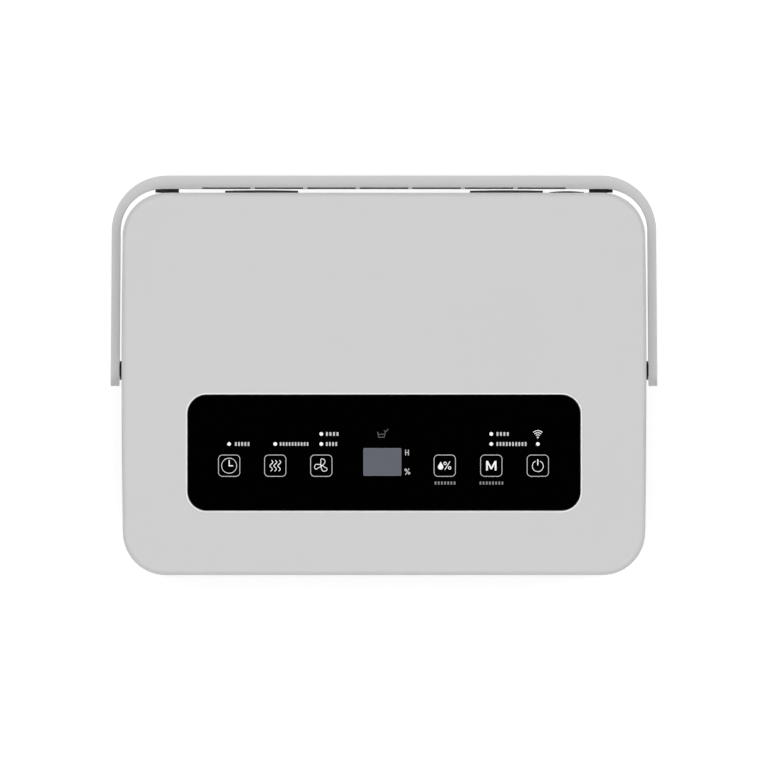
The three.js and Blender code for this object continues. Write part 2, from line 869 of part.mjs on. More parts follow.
add("mid_frame", "inner", midFrame());

function dripTray() {
  const low = shelfTop + gap;
  const half = trayWidth / 2;
  const gutterBack = trayFront + trayWall + 1;
  const body = block([-half, half], [trayFront, trayBack], [low, low + trayDepth]);
  const gutter = block([-gutterWidth / 2, gutterWidth / 2], [-spoutAhead - 12, trayFront + 1], [low, low + 14]);
  const spout = rod("z", spoutRadius, [tankTop + 6, low + 1], [0, -spoutAhead], 20);
  const nozzle = rod("y", nozzleRadius, [trayBack - 1, innerBack - gap], [drainX, drainHeight]);
  return cut(
    join(body, gutter, spout, nozzle),
    block(
      [-half + trayWall, half - trayWall],
      [trayFront + trayWall, trayBack - trayWall],
      [low + trayFloor, low + 30],
    ),
    block(
      [-gutterWidth / 2 + trayWall, gutterWidth / 2 - trayWall],
      [-spoutAhead - 12 + trayWall, gutterBack],
      [low + trayFloor, low + 30],
    ),
    rod("z", spoutRadius - 2, [tankTop, low + 5], [0, -spoutAhead], 20),
    rod("y", nozzleRadius - 2, [trayBack - 4, innerBack + 1], [drainX, drainHeight]),
  );
}
add("drip_tray", "smoke", dripTray());

// ---------------------------------------------------------------- coils and pipes
const coilBottom = shelfTop + gap + trayFloor + gap;
const coilRows = 5;
const coilRowPitch = 42;
const firstBend = 24;
const bendReach = 18;
const bendHeight = 21;
const bendRadius = 3.5;

function coil(front) {
  const half = coilWidth / 2;
  const middle = front + coilThickness / 2;
  const pack = block(
    [-half, half],
    [front, front + coilThickness],
    [coilBottom, coilBottom + coilHeight],
  );
  const plates = [-1, 1].map((side) =>
    block(
      [side * half - 1, side * half + 1],
      [front - 1, front + coilThickness + 1],
      [coilBottom, coilBottom + coilHeight],
    ),
  );
  const bends = [];
  for (let i = 0; i < coilRows; i++) {
    const z = coilBottom + firstBend + i * coilRowPitch;
    const bend = [
      [-half + 2, middle, z],
      [-half - bendReach * 0.45, middle, z + 1.5],
      [-half - bendReach * 0.6, middle, z + bendHeight / 2],
      [-half - bendReach * 0.45, middle, z + bendHeight - 1.5],
      [-half + 2, middle, z + bendHeight],
    ];
    bends.push(tube(bend, bendRadius, 8, 6));
  }
  return join(pack, ...plates, ...bends);
}
add("condenser_coil", "fins", coil(condenserFront));
add("evaporator_coil", "fins", coil(evaporatorFront));

const coilEnd = coilWidth / 2 + 1 + gap;
const capillaryHeight = coilBottom + firstBend + (coilRowPitch + bendHeight) / 2; // between two bends
const condenserMiddle = condenserFront + coilThickness / 2;
const evaporatorMiddle = evaporatorFront + coilThickness / 2;
const compressorSide = compressorRight + compressorRadius;

add(
  "discharge_pipe",
  "copper",
  tube(
    [
      [compressorSide + 1, 62, 150],
      [compressorSide + 12, 62, 152],
      [136, 62, 175],
      [136, 62, 240],
      [136, 62, 340],
      [coilEnd + 16, condenserMiddle, 374],
      [coilEnd + 0.4, condenserMiddle, 376],
    ],
    pipeRadius,
    24,
    6,
  ),
);
add(
  "suction_pipe",
  "copper",
  tube(
    [
      [compressorSide + 0.6, 74, 110],
      [compressorSide + 16, 76, 112],
      [150, 84, 135],
      [150, 90, 220],
      [150, evaporatorMiddle, 360],
      [coilEnd + 26, evaporatorMiddle, 406],
      [coilEnd + 0.4, evaporatorMiddle, 410],
    ],
    pipeRadius + 0.6,
    24,
    6,
  ),
);
add(
  "capillary_tube",
  "copper",
  tube(
    [
      [-coilEnd - 0.4, condenserMiddle, capillaryHeight],
      [-coilEnd - 16, condenserMiddle + 2, capillaryHeight],
      [-coilEnd - 26, condenserMiddle + 17, capillaryHeight],
      [-coilEnd - 16, evaporatorMiddle - 2, capillaryHeight],
      [-coilEnd - 0.4, evaporatorMiddle, capillaryHeight],
    ],
    2,
    16,
    6,
  ),
);

// ---------------------------------------------------------------- compressor
const grommetTop = floorTop + gap + grommetHeight;
const grommetPlaces = [0, 1, 2].map((i) => {
  const angle = Math.PI / 2 + (i * 2 * Math.PI) / 3;
  return [compressorRight + 46 * Math.cos(angle), compressorBehind + 46 * Math.sin(angle)];
});

function compressor() {
  const r = compressorRadius;
  const plateTop = grommetTop + gap + 3;
  const top = plateTop + compressorHeight;
  const dome = [
    [0, 0],
    [r * 0.78, 0],
    [r, 12],
    [r, top - plateTop - 22],
    [r * 0.92, top - plateTop - 10],
    [r * 0.6, top - plateTop],
    [0, top - plateTop],
  ].map(([x, y]) => new THREE.Vector2(x, y));
  const turned = new THREE.LatheGeometry(dome, 28).rotateX(Math.PI / 2);
  const can = solid(turned.translate(compressorRight, compressorBehind, plateTop - 0.5));
  const plate = rod("z", 54, [grommetTop + gap, plateTop], [compressorRight, compressorBehind], 3);
  const pads = grommetPlaces.map((at) => rod("z", 9, [grommetTop + gap, plateTop], at, 20));
  const band = rod("z", r + 0.4, [plateTop + 62, plateTop + 66], [compressorRight, compressorBehind], 28);
  return join(can, plate, band, ...pads);
}
add("compressor", "paint", compressor());

grommetPlaces.forEach((at, i) => {
  const low = floorTop + gap;
  const grommet = join(
    rod("z", 9, [low, low + 5], at, 14),
    rod("z", 6.5, [low + 4, grommetTop - 4], at, 14),
    rod("z", 9, [grommetTop - 5, grommetTop], at, 14),
  );
  add("compressor_grommet_" + (i + 1), "rubber", grommet);
});

// ---------------------------------------------------------------- electrics
function controlBoard() {
  const [x0, x1] = mainBoard.x;
  const [z0, z1] = mainBoard.z;
  const back = mainBoardFront + boardThickness;
  const transformer = block([x0 + 12, x0 + 48], [back - 0.5, back + 26], [z0 + 14, z0 + 44]);
  const relays = [0, 1, 2].map((i) =>
    block([x0 + 60 + i * 15, x0 + 71 + i * 15], [back - 0.5, back + 15], [z0 + 20, z0 + 40]),
  );
  const terminals = block([x0 + 14, x1 - 14], [back - 0.5, back + 9], [z1 - 22, z1 - 12]);
  const sheet = block(mainBoard.x, [mainBoardFront, back], mainBoard.z);
  return join(sheet, transformer, terminals, ...relays);
}
add("main_board", "board", controlBoard());
const capacitorRadius = 19;
const capacitorHeight = 92;
const capacitorPlace = [-100, 84];
add(
  "run_capacitor",
  "steel",
  rod("z", capacitorRadius, [floorTop + gap, floorTop + capacitorHeight], capacitorPlace, 24),
);

const sensorHeight = 120;
add(
  "tank_sensor",
  "inner",
  block(
    [-20, 4],
    [dividerBehind + dividerThickness + gap, dividerBehind + dividerThickness + 12],
    [sensorHeight, sensorHeight + 22],
  ),
);

// ---------------------------------------------------------------- fan
function scrollSolid(inset, depths, lift) {
  return join(
    rod("y", scrollRadius - inset, depths, [0, fanAxisHeight], 36),
    block(
      [throat[0] + inset, throat[1] - inset],
      depths,
      [fanAxisHeight, fanAxisHeight + scrollRadius + lift],
    ),
  );
}

function fanScroll() {
  const depths = [scrollFront, scrollBack];
  const hollow = scrollSolid(trayWall, [scrollFront + trayWall, scrollBack - trayWall], 1);
  const feet = [-1, 1].map((side) =>
    block(
      [side * 50 - 12, side * 50 + 12],
      depths,
      [shelfTop + gap, fanAxisHeight - Math.sqrt(scrollRadius ** 2 - scrollMouth ** 2) + 1.5],
    ),
  );
  const box = join(scrollSolid(0, depths, 0), ...feet);
  return cut(
    box,
    hollow,
    rod("y", scrollMouth, [scrollBack - 5, scrollBack + 1], [0, fanAxisHeight], 28),
    rod("y", shaftRadius + slack, [scrollFront - 1, scrollFront + 4], [0, fanAxisHeight], 16),
  );
}
add("fan_scroll", "shade", fanScroll());

function fanImpeller() {
  const front = scrollFront + 10;
  const back = scrollBack - 8;
  const at = [0, fanAxisHeight];
  const disc = rod("y", impellerRadius, [front, front + 3], at, 28);
  const hub = rod("y", 14, [front, front + 24], at, 16);
  const crown = cut(
    rod("y", impellerRadius, [back - 3, back], at, 28),
    rod("y", impellerRadius - 12, [back - 4, back + 1], at, 28),
  );
  const blades = [];
  for (let i = 0; i < bladeCount; i++) {
    const blade = new THREE.BoxGeometry(13, back - front - 2, 1.6);
    blade.rotateY(0.6).translate(impellerRadius - 7.5, (front + back) / 2, 0);
    blade.rotateY((i * 2 * Math.PI) / bladeCount).translate(0, 0, fanAxisHeight);
    blades.push(solid(blade));
  }
  return cut(
    join(disc, hub, crown, ...blades),
    rod("y", shaftRadius + gap, [front - 1, front + 20], at, 20),
  );
}
add("fan_impeller", "shade", fanImpeller());

function fanMotor() {
  const at = [0, fanAxisHeight];
  const back = scrollFront - gap;
  return join(
    rod("y", motorRadius, [back - motorLength, back - 3], at, 24),
    rod("y", motorRadius + 8, [back - 6, back], at, 24),
    rod("y", shaftRadius, [back - 1, scrollFront + 26], at, 16),
    rod("y", 12, [back - motorLength - 6, back - motorLength + 1], at, 16),
  );
}
add("fan_motor", "steel", fanMotor());

export default object;
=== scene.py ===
"""Finished surfaces for a portable cabinet dehumidifier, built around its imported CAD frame.

Metres, +Z up, front towards -Y. Each operator makes one piece or one group of like pieces and
lets it ride on the CAD body that carries it. What stays of the CAD nodes gets a material.
"""

import json
import math

import bmesh
import bpy
from bpy.props import FloatProperty, FloatVectorProperty, PointerProperty
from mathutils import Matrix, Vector


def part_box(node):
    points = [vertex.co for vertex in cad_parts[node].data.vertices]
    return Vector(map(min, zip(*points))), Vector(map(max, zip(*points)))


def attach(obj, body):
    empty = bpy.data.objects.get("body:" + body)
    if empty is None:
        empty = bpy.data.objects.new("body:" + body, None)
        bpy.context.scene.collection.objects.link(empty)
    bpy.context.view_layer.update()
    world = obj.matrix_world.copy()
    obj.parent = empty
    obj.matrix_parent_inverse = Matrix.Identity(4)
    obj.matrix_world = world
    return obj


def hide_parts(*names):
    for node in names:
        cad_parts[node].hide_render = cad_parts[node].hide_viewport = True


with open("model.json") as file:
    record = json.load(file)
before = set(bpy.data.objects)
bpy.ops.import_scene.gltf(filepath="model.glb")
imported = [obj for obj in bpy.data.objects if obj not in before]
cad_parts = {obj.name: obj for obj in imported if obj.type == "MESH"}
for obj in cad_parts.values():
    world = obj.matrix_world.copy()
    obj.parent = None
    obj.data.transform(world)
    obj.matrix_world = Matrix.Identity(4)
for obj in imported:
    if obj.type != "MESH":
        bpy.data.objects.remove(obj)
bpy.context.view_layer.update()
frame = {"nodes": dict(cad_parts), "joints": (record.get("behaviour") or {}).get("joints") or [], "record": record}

bl_info = {
    "name": "Portable dehumidifier",
    "version": (1, 0, 0),
    "blender": (4, 5, 0),
    "location": "3D View > Sidebar > Dehumidifier",
    "description": "Builds the finished surfaces of a cabinet dehumidifier around its CAD frame",
    "category": "Object",
}


def plain(bounds):
    """A box as plain lists of numbers."""
    return [[float(value) for value in corner] for corner in bounds]


# ------------------------------------------------------------------ places from the frame
COVER = plain(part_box("top_cover"))
GLASS = plain(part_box("panel_glass"))
RIM = plain(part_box("panel_rim"))
BAIL = plain(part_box("handle_bail"))
FRONT = plain(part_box("front_casing"))
REAR = plain(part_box("rear_casing"))
BASE = plain(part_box("base_tray"))
HALF_WIDTH = COVER[1][0]
HALF_DEPTH = (COVER[1][1] - COVER[0][1]) / 2
MIDDLE_Y = (COVER[1][1] + COVER[0][1]) / 2
TOP = COVER[1][2]
FRONT_Y = COVER[0][1]
BACK_Y = COVER[1][1]
COVER_SEAM = FRONT[1][2] + 0.0003
GLASS_TOP = GLASS[1][2]
GAP = 0.0003
MM = 0.001

# ------------------------------------------------------------------ sizes that pieces share
OVER = 0.001  # how far a cutting tool reaches past what it cuts
OUTLET_HALF = 0.125
INLET_HALF = 0.125
GRIP_SPREAD = 0.0821
GRIP_WIDTH = 0.049
REST_STEM = 0.004
FLOAT_LUGS = (0.062, 0.108)
FEET = ("front_left", "front_right", "rear_left", "rear_right")
FLOOR_SIZE = 30.0
FLOOR_DROP = 0.00002  # keeps the floor just clear of the feet

# ------------------------------------------------------------------ radii that pieces share
PIVOT_PIN = 0.004
PIVOT_NECK = 0.0064
PIVOT_CAP = 0.007
FLAP_PIN = 0.0018
FLOAT_PIN = 0.0015
SCREW_SHANK = 0.0018
SCREW_HEAD = 0.004
GLAND_STEM = 0.008
DRAIN_HOLE = 0.008
FOOT_STUD = 0.005


def joint(name):
    """A joint of the frame by name."""
    return next(j for j in frame["joints"] if j["name"] == name)


PIVOT = joint("handle_swing")["pos_m"]
FLAP_AXIS = joint("flap_tilt")["pos_m"]
FLOAT_AXIS = joint("float_rise")["pos_m"]


def middle_of(node):
    """The middle of a CAD node's box."""
    low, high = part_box(node)
    return [(start + end) / 2 for start, end in zip(low, high)]


def on_axis(point, axis):
    """The point with its place along an axis set to zero, for bodies turned about that axis."""
    return tuple(0 if name == axis else value for name, value in zip("xyz", point))


# ------------------------------------------------------------------ settings
def length(name, description, default):
    """A length property in metres."""
    return FloatProperty(
        name=name,
        description=description,
        default=default,
        min=0.0,
        subtype="DISTANCE",
        unit="LENGTH",
        precision=5,
    )


def colour(name, description, default):
    """A linear colour property."""
    return FloatVectorProperty(
        name=name, description=description, default=default, size=3, min=0.0, max=1.0, subtype="COLOR"
    )


def number(name, description, default, unit="NONE"):
    """A plain number, or one with a unit."""
    return FloatProperty(name=name, description=description, default=default, min=0.0, unit=unit)


class DehumidifierSizes(bpy.types.PropertyGroup):
    """Sizes of the visible surfaces."""

    corner_radius: length("Corner radius", "Radius of the cabinet's upright corners", 0.029)
    side_bow: length("Side bow", "How far the sides stand out at mid depth", 0.0008)
    wall: length("Wall", "Thickness of the casings", 0.0025)
    top_fillet: length("Top fillet", "Radius of the top cover's edge", 0.004)
    crown_inset: length("Crown inset", "How far in the flat of the top cover starts", 0.0095)
    crown_drop: length("Crown drop", "Fall of the top cover from its flat to its fillet", 0.00025)
    edge: length("Edge", "Soft edge of the mouldings", 0.0005)
    panel_radius: length("Panel radius", "Corner radius of the control panel", 0.0127)
    handle_corner: length("Handle corner", "Outer corner radius of the bail handle", 0.037)
    arm_thickness: length("Arm thickness", "Thickness of the handle's arms", 0.0058)
    arm_taper: length("Arm taper", "How far an arm comes in towards the bar", 0.0007)
    bar_thickness: length("Bar thickness", "Thickness of the handle's bar", 0.009)
    handle_edge: length("Handle edge", "Soft edge of the bail handle", 0.0009)
    channel_pitch: length("Channel pitch", "Spacing of the ribs inside the handle bar", 0.03515)
    channel_rib: length("Channel rib", "Thickness of a rib inside the handle bar", 0.0028)
    channel_depth: length("Channel depth", "Depth of the handle bar's channel", 0.005)
    channel_height: length("Channel height", "Height of the handle bar's channel", 0.015)
    key_size: length("Key size", "Side of a touch key's printed outline", 0.0147)
    key_line: length("Key line", "Width of a touch key's printed outline", 0.00043)
    print_line: length("Print line", "Width of the lines of the printed symbols", 0.00043)
    lamp_radius: length("Lamp radius", "Radius of an indicator lamp", 0.00125)
    flange_setback: length("Flange setback", "How far the bar's upper flange ends short of its ribs", 0.001)
    grip_proud: length("Grip proud", "How far a finger grip stands out of the back", 0.0021)
    grip_end: length("Grip end", "How far the ends of a finger grip stand out", 0.0018)
    slot_height: length("Slot height", "Height of a slot in the inlet grille", 0.004)


class DehumidifierColours(bpy.types.PropertyGroup):
    """Colours of the visible surfaces."""

    shell: colour("Shell", "Light grey casings and handle", (0.6, 0.6, 0.6))
    dark: colour("Dark trim", "Dark grey mouldings", (0.055, 0.057, 0.06))
    panel: colour("Panel", "Black control panel", (0.0002, 0.0002, 0.0002))
    # The rim is a real thin trim ring; its near-white colour is a painted highlight for the light that its edge
    # catches.
    rim: colour("Rim", "Line round the control panel", (0.9, 0.9, 0.9))
    ink: colour("Ink", "Printed symbols and lamps", (0.92, 0.92, 0.92))
    key_ink: colour("Key ink", "Printed key outlines", (0.55, 0.55, 0.55))
    display: colour("Display", "Unlit display window", (0.113, 0.120, 0.143))
    rubber: colour("Rubber", "Feet and drain plug", (0.05, 0.05, 0.052))
    # The rests are dark grey rubber; their colour is set lighter, as painted light that makes up for the shade
    # they lie in.
    rest: colour("Handle rests", "Blocks that the handle lies on", (0.2, 0.2, 0.203))
    smoke: colour("Tank", "Smoked tank", (0.42, 0.47, 0.5))


class DehumidifierStudio(bpy.types.PropertyGroup):
    """Camera and light."""

    camera_rise: length("Camera rise", "Height of the camera over the top cover", 16.0)
    view_width: length("View width", "Width of the view at the top cover", 0.5133)
    horizon: number("Horizon", "Brightness of the walls behind", 0.62)
    sky: number("Sky", "Brightness of the room above the walls", 0.12)
    floor_glow: number("Floor glow", "Light that the white floor gives of itself", 0.56)
    softbox_power: number("Softbox power", "Power of each softbox", 18.4, "POWER")
    softbox_size: length("Softbox size", "Side of each softbox", 1.6)
    softbox_distance: length("Softbox distance", "How far each softbox stands off", 2.6)
    softbox_rise: number("Softbox rise", "Angle of a softbox over the floor", math.radians(57), "ROTATION")


def sizes():
    return bpy.context.scene.dehumidifier_sizes


def colours():
    return bpy.context.scene.dehumidifier_colours


def studio():
    return bpy.context.scene.dehumidifier_studio


# ------------------------------------------------------------------ outlines
def arc(centre, radius, start, end, steps=14):
    """Points on an arc between two angles in degrees."""
    turns = (math.radians(start + (end - start) * i / steps) for i in range(steps + 1))
    return [(centre[0] + radius * math.cos(a), centre[1] + radius * math.sin(a)) for a in turns]


def rounded_rectangle(width, depth, radius, centre=(0.0, 0.0), steps=12):
    x, y = width / 2 - radius, depth / 2 - radius
    corners = ((x, y), (-x, y), (-x, -y), (x, -y))
    points = []
    for quarter, (dx, dy) in enumerate(corners):
        points += arc((centre[0] + dx, centre[1] + dy), radius, 90 * quarter, 90 * quarter + 90, steps)
    return points


def cabinet_outline(inset, part="whole", steps=14):
    """The cabinet's outline from above, brought in by an inset: the whole loop, or its rear or front."""
    s = sizes()
    radius = s.corner_radius - inset
    x = HALF_WIDTH - s.side_bow - s.corner_radius
    y = HALF_DEPTH - s.corner_radius

    def side(start, end, count=8):
        heights = [start + (end - start) * i / count for i in range(count)]
        return [(x + radius + s.side_bow * (1 - (v / y) ** 2), v) for v in heights]

    def mirrored(points):
        return [(-px, py) for px, py in reversed(points)]

    rear_from = REAR[0][1] - MIDDLE_Y if part == "rear" else 0.0
    front_from = FRONT[1][1] - MIDDLE_Y if part == "front" else 0.0
    right_rear = side(rear_from, y)
    right_front = side(front_from, -y)
    rear = right_rear + arc((x, y), radius, 0, 90, steps) + arc((-x, y), radius, 90, 180, steps)
    rear += mirrored(right_rear)
    front = [(-px, py) for px, py in right_front]
    front += arc((-x, -y), radius, 180, 270, steps) + arc((x, -y), radius, 270, 360, steps)
    front += list(reversed(right_front))
    if part == "rear":
        points = rear
    elif part == "front":
        points = front
    else:
        points = rear + front[1:-1]
    return [(px, py + MIDDLE_Y) for px, py in points]


def level(outline, z):
    return [Vector((x, y, z)) for x, y in outline]


# ------------------------------------------------------------------ mesh tools
def mesh_object(name, bm):
    """A new object from a bmesh, its faces turned outwards."""
    bmesh.ops.recalc_face_normals(bm, faces=bm.faces)
    mesh = bpy.data.meshes.new(name)
    bm.to_mesh(mesh)
    bm.free()
    made = bpy.data.objects.new(name, mesh)
    bpy.context.scene.collection.objects.link(made)
    return made


def add_loft(bm, loops):
    """A closed body through loops of equally many points, capped at both ends."""
    rows = [[bm.verts.new(point) for point in loop] for loop in loops]
    for low, high in zip(rows, rows[1:]):
        count = len(low)
        for i in range(count):
            j = (i + 1) % count
            bm.faces.new((low[i], low[j], high[j], high[i]))
    bm.faces.new(rows[0])
    bm.faces.new(rows[-1])


def loft(name, loops):
    bm = bmesh.new()
    add_loft(bm, loops)
    return mesh_object(name, bm)


def prism(name, outline, low, high):
    return loft(name, [level(outline, low), level(outline, high)])


def add_block(bm, low, high):
    x0, y0, z0 = low
    x1, y1, z1 = high
    square = [(x0, y0), (x1, y0), (x1, y1), (x0, y1)]
    add_loft(bm, [level(square, z0), level(square, z1)])


def blocks(name, boxes):
    """One object of several boxes that don't touch."""
    bm = bmesh.new()
    for low, high in boxes:
        add_block(bm, low, high)
    return mesh_object(name, bm)


def block(name, low, high):
    return blocks(name, [(low, high)])


def add_turned(bm, profile, at, axis, steps=48):
    """A turned body: profile holds (distance along the axis, radius) pairs."""
    loops = []
    for along, radius in profile:
        loop = []
        for i in range(steps):
            a = 2 * math.pi * i / steps
            u, v = radius * math.cos(a), radius * math.sin(a)
            offset = {"x": (along, u, v), "y": (v, along, u), "z": (u, v, along)}[axis]
            loop.append(Vector(at) + Vector(offset))
        loops.append(loop)
    add_loft(bm, loops)


def turned(name, profile, at, axis, steps=48):
    bm = bmesh.new()
    add_turned(bm, profile, at, axis, steps)
    return mesh_object(name, bm)


def rod(name, span, radius, at, axis, steps):
    """A plain round bar along an axis, from one place on it to another."""
    return turned(name, [(along, radius) for along in span], at, axis, steps)


def settle(piece):
    """Makes the piece's modifiers part of its mesh."""
    bpy.context.view_layer.update()
    graph = bpy.context.evaluated_depsgraph_get()
    fresh = bpy.data.meshes.new_from_object(piece.evaluated_get(graph), depsgraph=graph)
    old = piece.data
    piece.modifiers.clear()
    piece.data = fresh
    bpy.data.meshes.remove(old)
    fresh.name = piece.name


def combine(piece, tool, operation):
    """Joins a tool to the piece, cuts it away, or keeps what they share; the tool is used up."""
    change = piece.modifiers.new(operation.lower(), "BOOLEAN")
    change.operation = operation
    change.solver = "EXACT"
    change.object = tool
    settle(piece)
    mesh = tool.data
    bpy.data.objects.remove(tool)
    bpy.data.meshes.remove(mesh)


def cut(piece, *tools):
    for tool in tools:
        combine(piece, tool, "DIFFERENCE")


def join(piece, *tools):
    for tool in tools:
        combine(piece, tool, "UNION")


def clean(piece):
    """Removes the slivers that cutting leaves on flat faces."""
    bm = bmesh.new()
    bm.from_mesh(piece.data)
    bmesh.ops.remove_doubles(bm, verts=bm.verts, dist=2e-6)
    bmesh.ops.dissolve_limit(bm, angle_limit=math.radians(0.4), verts=bm.verts, edges=bm.edges)
    bm.to_mesh(piece.data)
    bm.free()


def smooth(piece, angle=38):
    """Smooth shading that keeps flat faces flat."""
    for face in piece.data.polygons:
        face.use_smooth = True
    piece.data.set_sharp_from_angle(angle=math.radians(angle))
    normals = piece.modifiers.new("normals", "WEIGHTED_NORMAL")
    normals.keep_sharp = True


def soften(piece, width, segments=3, angle=34):
    """Rounds every sharp edge of the piece by a width."""
    clean(piece)
    rounding = piece.modifiers.new("edges", "BEVEL")
    rounding.width = width
    rounding.segments = segments
    rounding.limit_method = "ANGLE"
    rounding.angle_limit = math.radians(angle)
    rounding.use_clamp_overlap = True
    settle(piece)
    smooth(piece)


def place(piece, body, slot, material, *nodes):
    """Gives the piece its finish and its body, and hides the CAD nodes that it stands for."""
    piece.data.materials.clear()
    piece.data.materials.append(material)
    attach(piece, body)
    if nodes:
        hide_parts(*nodes)


# ------------------------------------------------------------------ shader node groups
def add_node(tree, kind, settings=None, inputs=None):
    """A node with its settings, and its inputs as values or as sockets to link."""
    made = tree.nodes.new(kind)
    for key, value in (settings or {}).items():
        setattr(made, key, value)
    for key, value in (inputs or {}).items():
        if isinstance(value, bpy.types.NodeSocket):
            tree.links.new(value, made.inputs[key])
        else:
            made.inputs[key].default_value = value
    return made


def new_group(name, inputs, outputs):
    """A shader node group with named sockets: (group, input sockets, output node)."""
    group = bpy.data.node_groups.new(name, "ShaderNodeTree")
    for socket, (kind, default) in inputs.items():
        made = group.interface.new_socket(name=socket, in_out="INPUT", socket_type="NodeSocket" + kind)
        if default is not None:
            made.default_value = default
    for socket, kind in outputs.items():
        group.interface.new_socket(name=socket, in_out="OUTPUT", socket_type="NodeSocket" + kind)
    source = group.nodes.new("NodeGroupInput").outputs
    result = group.nodes.new("NodeGroupOutput")
    return group, source, result


def math_node(tree, operation, first, second):
    made = add_node(tree, "ShaderNodeMath", {"operation": operation}, {0: first, 1: second})
    return made.outputs[0]


def grain_group():
    """Fine moulded grain: a height for the bump and a tone that drifts slowly over the piece."""
    group, source, result = new_group(
        "moulded_grain",
        {"Vector": ("Vector", None), "Scale": ("Float", 1800.0), "Drift": ("Float", 9.0)},
        {"Height": "Float", "Tone": "Float"},
    )
    where = source["Vector"]
    fine = add_node(
        group, "ShaderNodeTexNoise", None, {"Vector": where, "Scale": source["Scale"], "Detail": 3.0}
    )
    coarse = add_node(
        group,
        "ShaderNodeTexVoronoi",
        {"feature": "SMOOTH_F1"},
        {"Vector": where, "Scale": math_node(group, "MULTIPLY", source["Scale"], 0.45)},
    )
    drift = add_node(
        group, "ShaderNodeTexNoise", None, {"Vector": where, "Scale": source["Drift"], "Detail": 4.0}
    )
    height = math_node(group, "ADD", fine.outputs["Fac"], coarse.outputs["Distance"])
    group.links.new(height, result.inputs["Height"])
    group.links.new(drift.outputs["Fac"], result.inputs["Tone"])
    return group


def wear_group():
    """A mask of rubbed outer edges, broken up by noise."""
    group, source, result = new_group(
        "edge_wear", {"Vector": ("Vector", None), "Amount": ("Float", 0.4)}, {"Mask": "Float"}
    )
    shape = add_node(group, "ShaderNodeNewGeometry")
    edge = add_node(
        group,
        "ShaderNodeMapRange",
        {"clamp": True},
        {"Value": shape.outputs["Pointiness"], "From Min": 0.53, "From Max": 0.6},
    )
    patches = add_node(
        group, "ShaderNodeTexNoise", None, {"Vector": source["Vector"], "Scale": 60.0, "Detail": 5.0}
    )
    broken = math_node(group, "MULTIPLY", edge.outputs["Result"], patches.outputs["Fac"])
    group.links.new(math_node(group, "MULTIPLY", broken, source["Amount"]), result.inputs["Mask"])
    return group


def tint_group():
    """A base colour that drifts lighter and darker by a spread round its middle."""
    group, source, result = new_group(
        "tinted",
        {"Colour": ("Color", (0.5, 0.5, 0.5, 1.0)), "Tone": ("Float", 0.5), "Spread": ("Float", 0.03)},
        {"Colour": "Color"},
    )
    centred = math_node(group, "SUBTRACT", source["Tone"], 0.5)
    scaled = math_node(group, "MULTIPLY", centred, source["Spread"])
    value = math_node(group, "ADD", scaled, 1.0)
    shifted = add_node(group, "ShaderNodeHueSaturation", None, {"Value": value, "Color": source["Colour"]})
    group.links.new(shifted.outputs["Color"], result.inputs["Colour"])
    return group


SHARED = {"grain": grain_group, "wear": wear_group, "tint": tint_group}
GROUPS = {}
MATERIALS = {}


def shared(name):
    """A shared node group, built the first time that it is asked for."""
    if name not in GROUPS:
        GROUPS[name] = SHARED[name]()
    return GROUPS[name]


def place_group(tree, name, inputs):
    """A shared node group in a material, with its own values; gives its outputs."""
    return add_node(tree, "ShaderNodeGroup", {"node_tree": shared(name)}, inputs).outputs


# ------------------------------------------------------------------ materials
def new_material(name):
    """(material, node tree, shader, object coordinates)."""
    material = bpy.data.materials.new(name)
    material.use_nodes = True
    tree = material.node_tree
    tree.nodes.clear()
    shader = tree.nodes.new("ShaderNodeBsdfPrincipled")
    output = tree.nodes.new("ShaderNodeOutputMaterial")
    tree.links.new(shader.outputs["BSDF"], output.inputs["Surface"])
    where = tree.nodes.new("ShaderNodeTexCoord").outputs["Object"]
    return material, tree, shader, where


def rgba(values):
    return (*values, 1.0)


def moulding(name, base, roughness, grain=1800.0, depth=0.00002, spread=0.02, wear=0.15, worn=0.12):
    """Moulded plastic or rubber: drifting tone, fine grain, edges rubbed a little lighter."""
    material, tree, shader, where = new_material(name)
    surface = place_group(tree, "grain", {"Vector": where, "Scale": grain})
    tinted = place_group(tree, "tint", {"Colour": rgba(base), "Tone": surface["Tone"], "Spread": spread})
    rubbed = place_group(tree, "wear", {"Vector": where, "Amount": wear})
    pale = tuple(min(1.0, value + worn * (1 - value)) for value in base)
    mixed = add_node(
        tree,
        "ShaderNodeMixRGB",
        None,
        {"Fac": rubbed["Mask"], "Color1": tinted["Colour"], "Color2": rgba(pale)},
    )
    rough = add_node(
        tree,
        "ShaderNodeMapRange",
        None,
        {"Value": surface["Tone"], "To Min": roughness - 0.05, "To Max": roughness + 0.05},
    )
    bump = add_node(
        tree, "ShaderNodeBump", None, {"Height": surface["Height"], "Distance": depth, "Strength": 0.5}
    )
    tree.links.new(mixed.outputs["Color"], shader.inputs["Base Color"])
    tree.links.new(rough.outputs["Result"], shader.inputs["Roughness"])
    tree.links.new(bump.outputs["Normal"], shader.inputs["Normal"])
    return material, tree, shader


def shell_plastic():
    return moulding("shell_plastic", colours().shell, 0.46, spread=0.012, wear=0.1)[0]


def dark_plastic():
    return moulding("dark_plastic", colours().dark, 0.52, spread=0.1)[0]


def hub_plastic():
    return moulding("hub_plastic", (0.012, 0.012, 0.013), 0.4, spread=0.1, wear=0.1)[0]


def pale_plastic():
    return moulding("pale_plastic", (0.8, 0.8, 0.79), 0.4, spread=0.02)[0]


def inner_plastic():
    return moulding("inner_plastic", (0.42, 0.44, 0.46), 0.55, spread=0.05)[0]


def foam_plastic():
    """Float of closed-cell foam: beads that show as shallow domes."""
    return moulding("foam_plastic", (0.82, 0.82, 0.8), 0.7, grain=420.0, depth=0.0002, spread=0.03)[0]


RUBBER_GRAIN = 2600.0


def black_rubber():
    material, _, shader = moulding(
        "black_rubber", (0.006, 0.006, 0.0063), 0.85, grain=RUBBER_GRAIN, spread=0.2, wear=0.05
    )
    shader.inputs["Specular IOR Level"].default_value = 0.12
    return material


def matt_rubber():
    return moulding("matt_rubber", colours().rubber, 0.82, grain=RUBBER_GRAIN, depth=0.00004, spread=0.2)[0]
